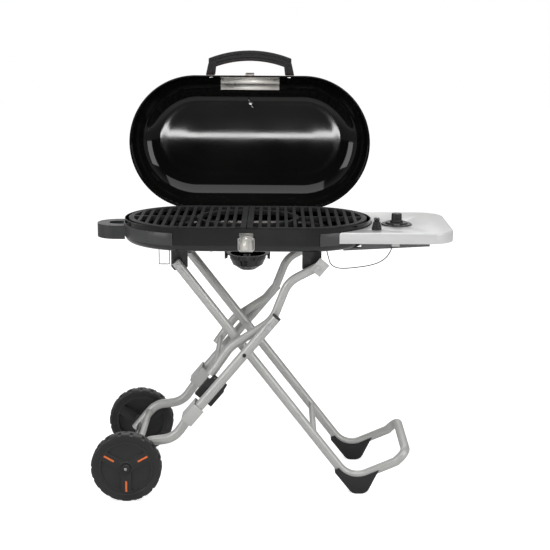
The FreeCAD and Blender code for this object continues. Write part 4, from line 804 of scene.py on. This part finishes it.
def archedGrip(form):
    low, high = form["gripLevel"]
    inner, outer = form["archRadii"]
    sink, span = form["groove"], outer - inner
    edges = [inner + span * part for part in (0.30, 0.36, 0.64, 0.70)]
    outline = [(inner, low + 0.003), (inner + 0.002, low + 0.0005), (edges[0], low), (edges[0] + 0.0004, low + sink),
               (edges[1] - 0.0004, low + sink), (edges[1], low), (edges[2], low), (edges[2] + 0.0004, low + sink),
               (edges[3] - 0.0004, low + sink), (edges[3], low), (outer - 0.002, low + 0.0005), (outer, low + 0.003),
               (outer, high - 0.004), (outer - 0.004, high), (inner + 0.004, high), (inner, high - 0.004)]
    arch = ringedForm("gripFinished", outline, form["archMiddle"], upwards, 300)
    half = form["gripHalf"]
    keepZone = newBlock("gripZone", hearthMiddle + Vector((-half, -0.30, low - 0.02)),
                        hearthMiddle + Vector((half, -0.15, high + 0.02)))
    applied(arch, "BOOLEAN", operation="INTERSECT", solver="EXACT", object=keepZone)
    bpy.data.objects.remove(keepZone)
    return softEdges(arch, 0.0009, 2, 40)


def handlePost(form, side):
    low, high = form["gripLevel"]
    foot, top = form["postFoot"], form["postTop"]
    near, far = form["postReach"]
    post = newBlock("post", hearthMiddle + Vector((foot[0], far, low)),
                    hearthMiddle + Vector((foot[1], near, high)))
    pick(post, "FACE", lambda centre, normal: normal.y < -0.9)
    middle = hearthMiddle + Vector(((top[0] + top[1]) / 2, far, (low + high) / 2))
    shift = (top[0] + top[1] - foot[0] - foot[1]) / 2
    bpy.ops.transform.translate(value=(shift, 0, 0))
    bpy.ops.transform.resize(value=((top[1] - top[0]) / (foot[1] - foot[0]), 1, 1), center_override=middle)
    outOfEdit()
    softEdges(post, 0.0025, 3, 40)
    lean = shift / (near - far)
    for part in (-0.0042, 0.0042):
        flute = newBlock("flute", (-0.0010, far - 0.01, low - 0.01), (0.0010, near + 0.01, low + 0.0014))
        turned = Matrix.Translation(hearthMiddle + Vector(((foot[0] + foot[1]) / 2 + part, 0, 0)))
        tilt = turnAbout((0, near, low), (0, 0, 1), math.degrees(math.atan(lean)))
        cutBy(post, moved(flute, turned @ tilt))
    nutNear, nutFar = form["nutSpan"]
    nut = newRod("postNut", form["nutRadius"], hearthMiddle + nutNear, hearthMiddle + nutFar, 6)
    spread(post, "mouldedBlack")
    spread(nut, "plainNut")
    post = joined("post", post, nut)
    if side < 0:
        post = normalsOut(moved(post, mirrorAbout(Vector((hearthMiddle.x, 0, 0)), (-1, 1, 1))))
    return post


grip = moved(archedGrip(handleForm), lidOpen)
put(grip, "mouldedBlack", "lid", ("lid_handle_grip",), 40)
posts = moved(joined("lid_handle_posts.finished", handlePost(handleForm, -1), handlePost(handleForm, 1)), lidOpen)
put(posts, ["mouldedBlack", "plainNut"], "lid", ("lid_handle_posts",), 40)
print("lid handle made")

# ---- bright plate inside the lid, folded along its middle, and the thermometer with its wing nut
plateForm = {
    "half": 0.0795,
    "wallFlange": (0.7060, 0.7365),
    "near": 0.1772,
    "reach": (0.1420, 0.1768),
    "fold": 0.1588,
}


def foldedPlate(form):
    low, high = form["wallFlange"]
    left, right = hearthMiddle.x - form["half"], hearthMiddle.x + form["half"]
    middle = hearthMiddle.y
    wall, fold = middle - form["near"], middle - form["fold"]
    reachFar, reachNear = (middle - reach for reach in form["reach"])
    wallFlange = newBlock("wallFlange", (left, wall, low), (right, wall + 0.0012, high))
    shallow = newBlock("shallowFlange", (left, reachNear, high - 0.0012), (right, fold - 0.0005, high))
    raised = newBlock("raisedFlange", (left, fold + 0.0005, high - 0.0026), (right, reachFar, high - 0.0010))
    web = newBlock("foldWeb", (left, fold - 0.0008, high - 0.0010), (right, fold + 0.0008, high - 0.0004))
    return softEdges(joined("lid_inner_plate.finished", wallFlange, shallow, raised, web), 0.0004, 2, 40)


put(moved(foldedPlate(plateForm), lidOpen), "brushedSteel", "lid", ("lid_inner_plate",))

gaugeForm = {
    "middle": spot(0, -100, 833),
    "dial": [(0.0265, 0.0), (0.0265, 0.0065), (0.0250, 0.0085), (0.0215, 0.0088), (0.0210, 0.0070)],
    "blackDisc": [(0.0290, -0.0010), (0.0290, -0.0020), (0.0284, -0.0024), (0.0120, -0.0024)],
    "washer": [(0.0085, -0.0030), (0.0085, -0.0044), (0.0060, -0.0050)],
    "nut": [(0.0062, -0.0044), (0.0062, -0.0090), (0.0042, -0.0130), (0.0030, -0.0135)],
    "stem": 0.0020,
    "stemSpan": (0.0020, 0.0240),
    "wingLow": Vector((0.0040, -0.0014, -0.0180)),
    "wingHigh": Vector((0.0130, 0.0014, -0.0080)),
    "wingSweep": -0.0035,
    "wingTurn": 62,
}


def lidGauge(form):
    middle = form["middle"]
    dial = spread(turnedForm("dial", form["dial"], middle, upwards, 48), "zincSteel")
    # a thin glossy black disc round the stem, on the inside of the crown
    blackDisc = spread(turnedForm("blackDisc", form["blackDisc"], middle, upwards, 48), "glossBlack")
    washer = spread(turnedForm("washer", form["washer"], middle, upwards, 32), "plainNut")
    nut = spread(turnedForm("nut", form["nut"], middle, upwards, 24), "plainNut")
    top, foot = form["stemSpan"]
    stem = spread(newRod("stem", form["stem"], middle - upwards * foot, middle - upwards * top, 16), "plainNut")
    items = [dial, blackDisc, washer, nut, stem]
    for side in (-1, 1):
        wing = newBlock("wing", middle + form["wingLow"], middle + form["wingHigh"])
        pick(wing, "FACE", lambda centre, normal: normal.x > 0.9)
        bpy.ops.transform.translate(value=(0, 0, form["wingSweep"]))
        outOfEdit()
        softEdges(wing, 0.0012, 3, 40)
        wing = moved(wing, turnAbout(middle, (0, 0, 1), form["wingTurn"] + (180 if side < 0 else 0)))
        items.append(spread(wing, "plainNut"))
    return joined("thermometer.finished", *items)


gauge = moved(lidGauge(gaugeForm), lidOpen)
put(gauge, ["zincSteel", "glossBlack", "plainNut"], "lid", ("thermometer",))
print("lid fittings made")

# ---- burner knob on its plate, and the stepped igniter
knobForm = {
    "middle": spot(382, -36, 695),
    "bezel": [(0.0400, 0.0), (0.0400, 0.0016), (0.0385, 0.0030), (0.0300, 0.0036), (0.0286, 0.0062),
              (0.0270, 0.0070), (0.0160, 0.0070)],
    "skirt": [(0.0165, 0.0072), (0.0165, 0.0098), (0.0150, 0.0112), (0.0134, 0.0114), (0.0130, 0.0270),
              (0.0120, 0.0288), (0.0040, 0.0290)],
    "flutes": 16,
    "fluteCircle": 0.0138,
    "fluteRadius": 0.0014,
    "fluteSpan": (0.0125, 0.035),
    "markLow": Vector((-0.0006, -0.0115, 0.0285)),
    "markHigh": Vector((0.0006, -0.0040, 0.0293)),
}


def flutedKnob(form):
    middle = form["middle"]
    knob = turnedForm("control_knob.finished", form["skirt"], middle, upwards, 64)
    flutes = []
    for number in range(form["flutes"]):
        bearing = math.tau * number / form["flutes"]
        place = middle + Vector((math.cos(bearing), math.sin(bearing), 0)) * form["fluteCircle"]
        low, high = (place + upwards * level for level in form["fluteSpan"])
        flutes.append(newRod("flute", form["fluteRadius"], low, high, 10))
    cutBy(knob, joined("flutes", *flutes))
    mark = newBlock("mark", middle + form["markLow"], middle + form["markHigh"])
    spread(knob, "mouldedBlack")
    spread(mark, "whiteNylon")
    return joined("control_knob.finished", knob, mark)


bezel = turnedForm("knob_bezel.finished", knobForm["bezel"], knobForm["middle"], upwards, 72)
put(bezel, "glossBlack", "grill", ("knob_bezel",), 24)
put(flutedKnob(knobForm), ["mouldedBlack", "whiteNylon"], "knob", ("control_knob",), 30)

igniterForm = {
    "middle": spot(325, -114, 695),
    "base": [(0.0124, 0.0), (0.0124, 0.0060), (0.0112, 0.0068), (0.0112, 0.0120), (0.0098, 0.0130),
             (0.0092, 0.0200), (0.0072, 0.0200)],
    "button": [(0.0062, 0.0160), (0.0062, 0.0225), (0.0069, 0.0235), (0.0069, 0.0285), (0.0060, 0.0305),
               (0.0035, 0.0310)],
}
for part, look, body in (("base", "mouldedBlack", "grill"), ("button", "glossBlack", "button")):
    node = "igniter_" + part
    piece = turnedForm(node + ".finished", igniterForm[part], igniterForm["middle"], upwards, 48)
    put(piece, look, body, (node,), 30)
print("knob and igniter made")


# ---- latch lever: a pressed plate with a raised middle, two rivets and a foot
latchForm = {
    "middle": spot(0, -184.5, 672),
    "size": (0.0300, 0.0020, 0.0400),
    "raised": (0.0190, 0.0016, 0.0250),
    "raisedDrop": 0.002,
    "eyeRadius": 0.0024,
    "eye": spot(0, -182.5, 652),
    "earReach": 0.0148,
    "earLow": Vector((-0.0007, -0.0045, 0.0090)),
    "earHigh": Vector((0.0007, 0.0010, 0.0150)),
    "rivets": [(-0.0115, 0.0155), (0.0115, 0.0155)],
    "rivetProfile": [(0.0024, 0.0), (0.0022, 0.0007), (0.0012, 0.0011)],
}


def latchLever(form):
    middle = form["middle"]
    wide, thick, high = form["size"]
    face = middle.y - thick / 2
    half = Vector((wide, thick, high)) / 2
    plate = newBlock("leverPlate", middle - half, middle + half)
    softEdges(plate, 0.0009, 2, 40)
    pressWide, pressOut, pressHigh = form["raised"]
    level = middle.z - form["raisedDrop"]
    press = newBlock("pressedMiddle", (middle.x - pressWide / 2, face - pressOut, level - pressHigh / 2),
                     (middle.x + pressWide / 2, face + 0.0005, level + pressHigh / 2))
    pick(press, "FACE", lambda centre, normal: normal.y < -0.9)
    bpy.ops.mesh.inset(thickness=0.0022, depth=0)
    bpy.ops.transform.translate(value=(0, 0.0008, 0))
    outOfEdit()
    softEdges(press, 0.0006, 2, 25)
    across = leftToRight * wide / 2
    eye = newRod("leverEye", form["eyeRadius"], form["eye"] - across, form["eye"] + across, 24)
    ears = []
    for side in (-1, 1):
        place = middle + leftToRight * side * form["earReach"]
        ears.append(newBlock("bailEar", place + form["earLow"], place + form["earHigh"]))
    rivets = []
    for across, up in form["rivets"]:
        place = middle + Vector((across, -thick / 2 - 0.0002, up))
        rivets.append(turnedForm("rivet", form["rivetProfile"], place, -frontToBack, 20))
    return joined("latch_lever.finished", plate, press, eye, *ears, *rivets)


put(latchLever(latchForm), "brushedSteel", "latch", ("latch_lever",), 30)

# ---- small fittings that ride on the grill
fittings = {
    "hangerLeft": spot(-222, -100, 601),
    "hangerRight": spot(-196, -100, 648),
    "hangerWire": 0.0013,
    "peg": spot(-90, -100, 648),
    "pegProfile": [(0.0030, -0.002), (0.0030, 0.008), (0.0045, 0.009), (0.0045, 0.012), (0.0030, 0.014)],
    "bandScrews": [(-243, 702), (-243, 693), (-243, 684), (-243, 675)],
    "bandFront": -180.9,
    "bandScrewRadius": 0.0014,
}


def wireHanger(form):
    low, high, radius = form["hangerLeft"], form["hangerRight"], form["hangerWire"]
    outline = ((low.x, high.z), (low.x, low.z), (high.x, low.z), (high.x, high.z))
    corners = [Vector((x, low.y, z)) for x, z in outline]
    items = [newRod("hangerRun", radius, start, end, 12) for start, end in zip(corners, corners[1:])]
    for corner in corners[1:3]:
        nothingSelected()
        bpy.ops.mesh.primitive_uv_sphere_add(segments=12, ring_count=8, radius=radius, location=corner)
        items.append(settle(bpy.context.object, "hangerBend"))
    return joined("hookHanger", *items)


put(wireHanger(fittings), "zincSteel", "grill")
peg = turnedForm("underPeg", fittings["pegProfile"], fittings["peg"], -upwards, 20)
put(peg, "mouldedBlack", "grill")


def frontScrew(across, up, out, radius):
    profile = [(radius, 0.0), (radius, 0.0006), (radius * 0.7, 0.0011), (radius * 0.3, 0.0012)]
    return turnedForm("screw", profile, spot(across, out, up), -frontToBack, 20)


bandScrews = [frontScrew(across, up, fittings["bandFront"], fittings["bandScrewRadius"])
              for across, up in fittings["bandScrews"]]
put(joined("bandRivets", *bandScrews), "blackPaint", "grill")

# ---- CAD nodes that keep their shape
plainNodes = {
    "burner": "heatedSteel", "gas_pipe": "railPaint", "grate_rests": "blackPaint", "cup_rails": "blackPaint",
    "foot_frame": "silverPaint", "foot_crossbar": "silverPaint", "wheel_leg_front": "silverPaint",
    "wheel_leg_rear": "silverPaint", "wheel_tubes": "silverPaint", "brace_rod": "silverPaint",
    "upper_link_front": "silverPaint", "upper_link_rear": "silverPaint", "link_crossbar": "silverPaint",
    "hinge_pins": "zincSteel", "pivot_pins": "zincSteel", "cross_pins": "zincSteel",
    "knee_pins": "zincSteel", "leg_caps": "mouldedBlack", "drip_cup": "blackEnamel", "latch_bail": "zincSteel",
    "firebox_pan": "blackEnamel", "pull_handle": "mouldedGrey",
    "gas_inlet": "brass", "grate_left": "castIron", "grate_right": "castIron",
}
for node, look in plainNodes.items():
    dressNode(node, look)

# ---- sheet and moulded nodes with broken edges: edge width in metres, finish
edgedNodes = {
    "end_bracket_left": (0.0008, "greyPaint"), "end_bracket_right": (0.0008, "greyPaint"),
    "table_rails": (0.0010, "railPaint"), "side_table": (0.0006, "tablePaint"),
    "leg_brackets_left": (0.0007, "blackPaint"), "leg_brackets_right": (0.0007, "blackPaint"),
    "latch_base": (0.0004, "brushedSteel"),
    "hinge_leaves_lower": (0.0004, "darkHinge"), "hinge_leaves_upper": (0.0004, "darkHinge"),
    "gas_valve": (0.0016, "zincSteel"), "wire_glands": (0.0008, "whiteNylon"), "lid_catch": (0.0004, "brushedSteel"),
    "foot_pads": (0.0030, "footRubber"), "joint_plates": (0.0006, "linkPaint"),
    "link_end_plates": (0.0006, "linkPaint"), "lock_plate": (0.0006, "blackPaint"),
    "lock_block": (0.0020, "mouldedBlack"),
}
for node, (width, look) in edgedNodes.items():
    roundedNode(node, width, look)
print("CAD nodes dressed")
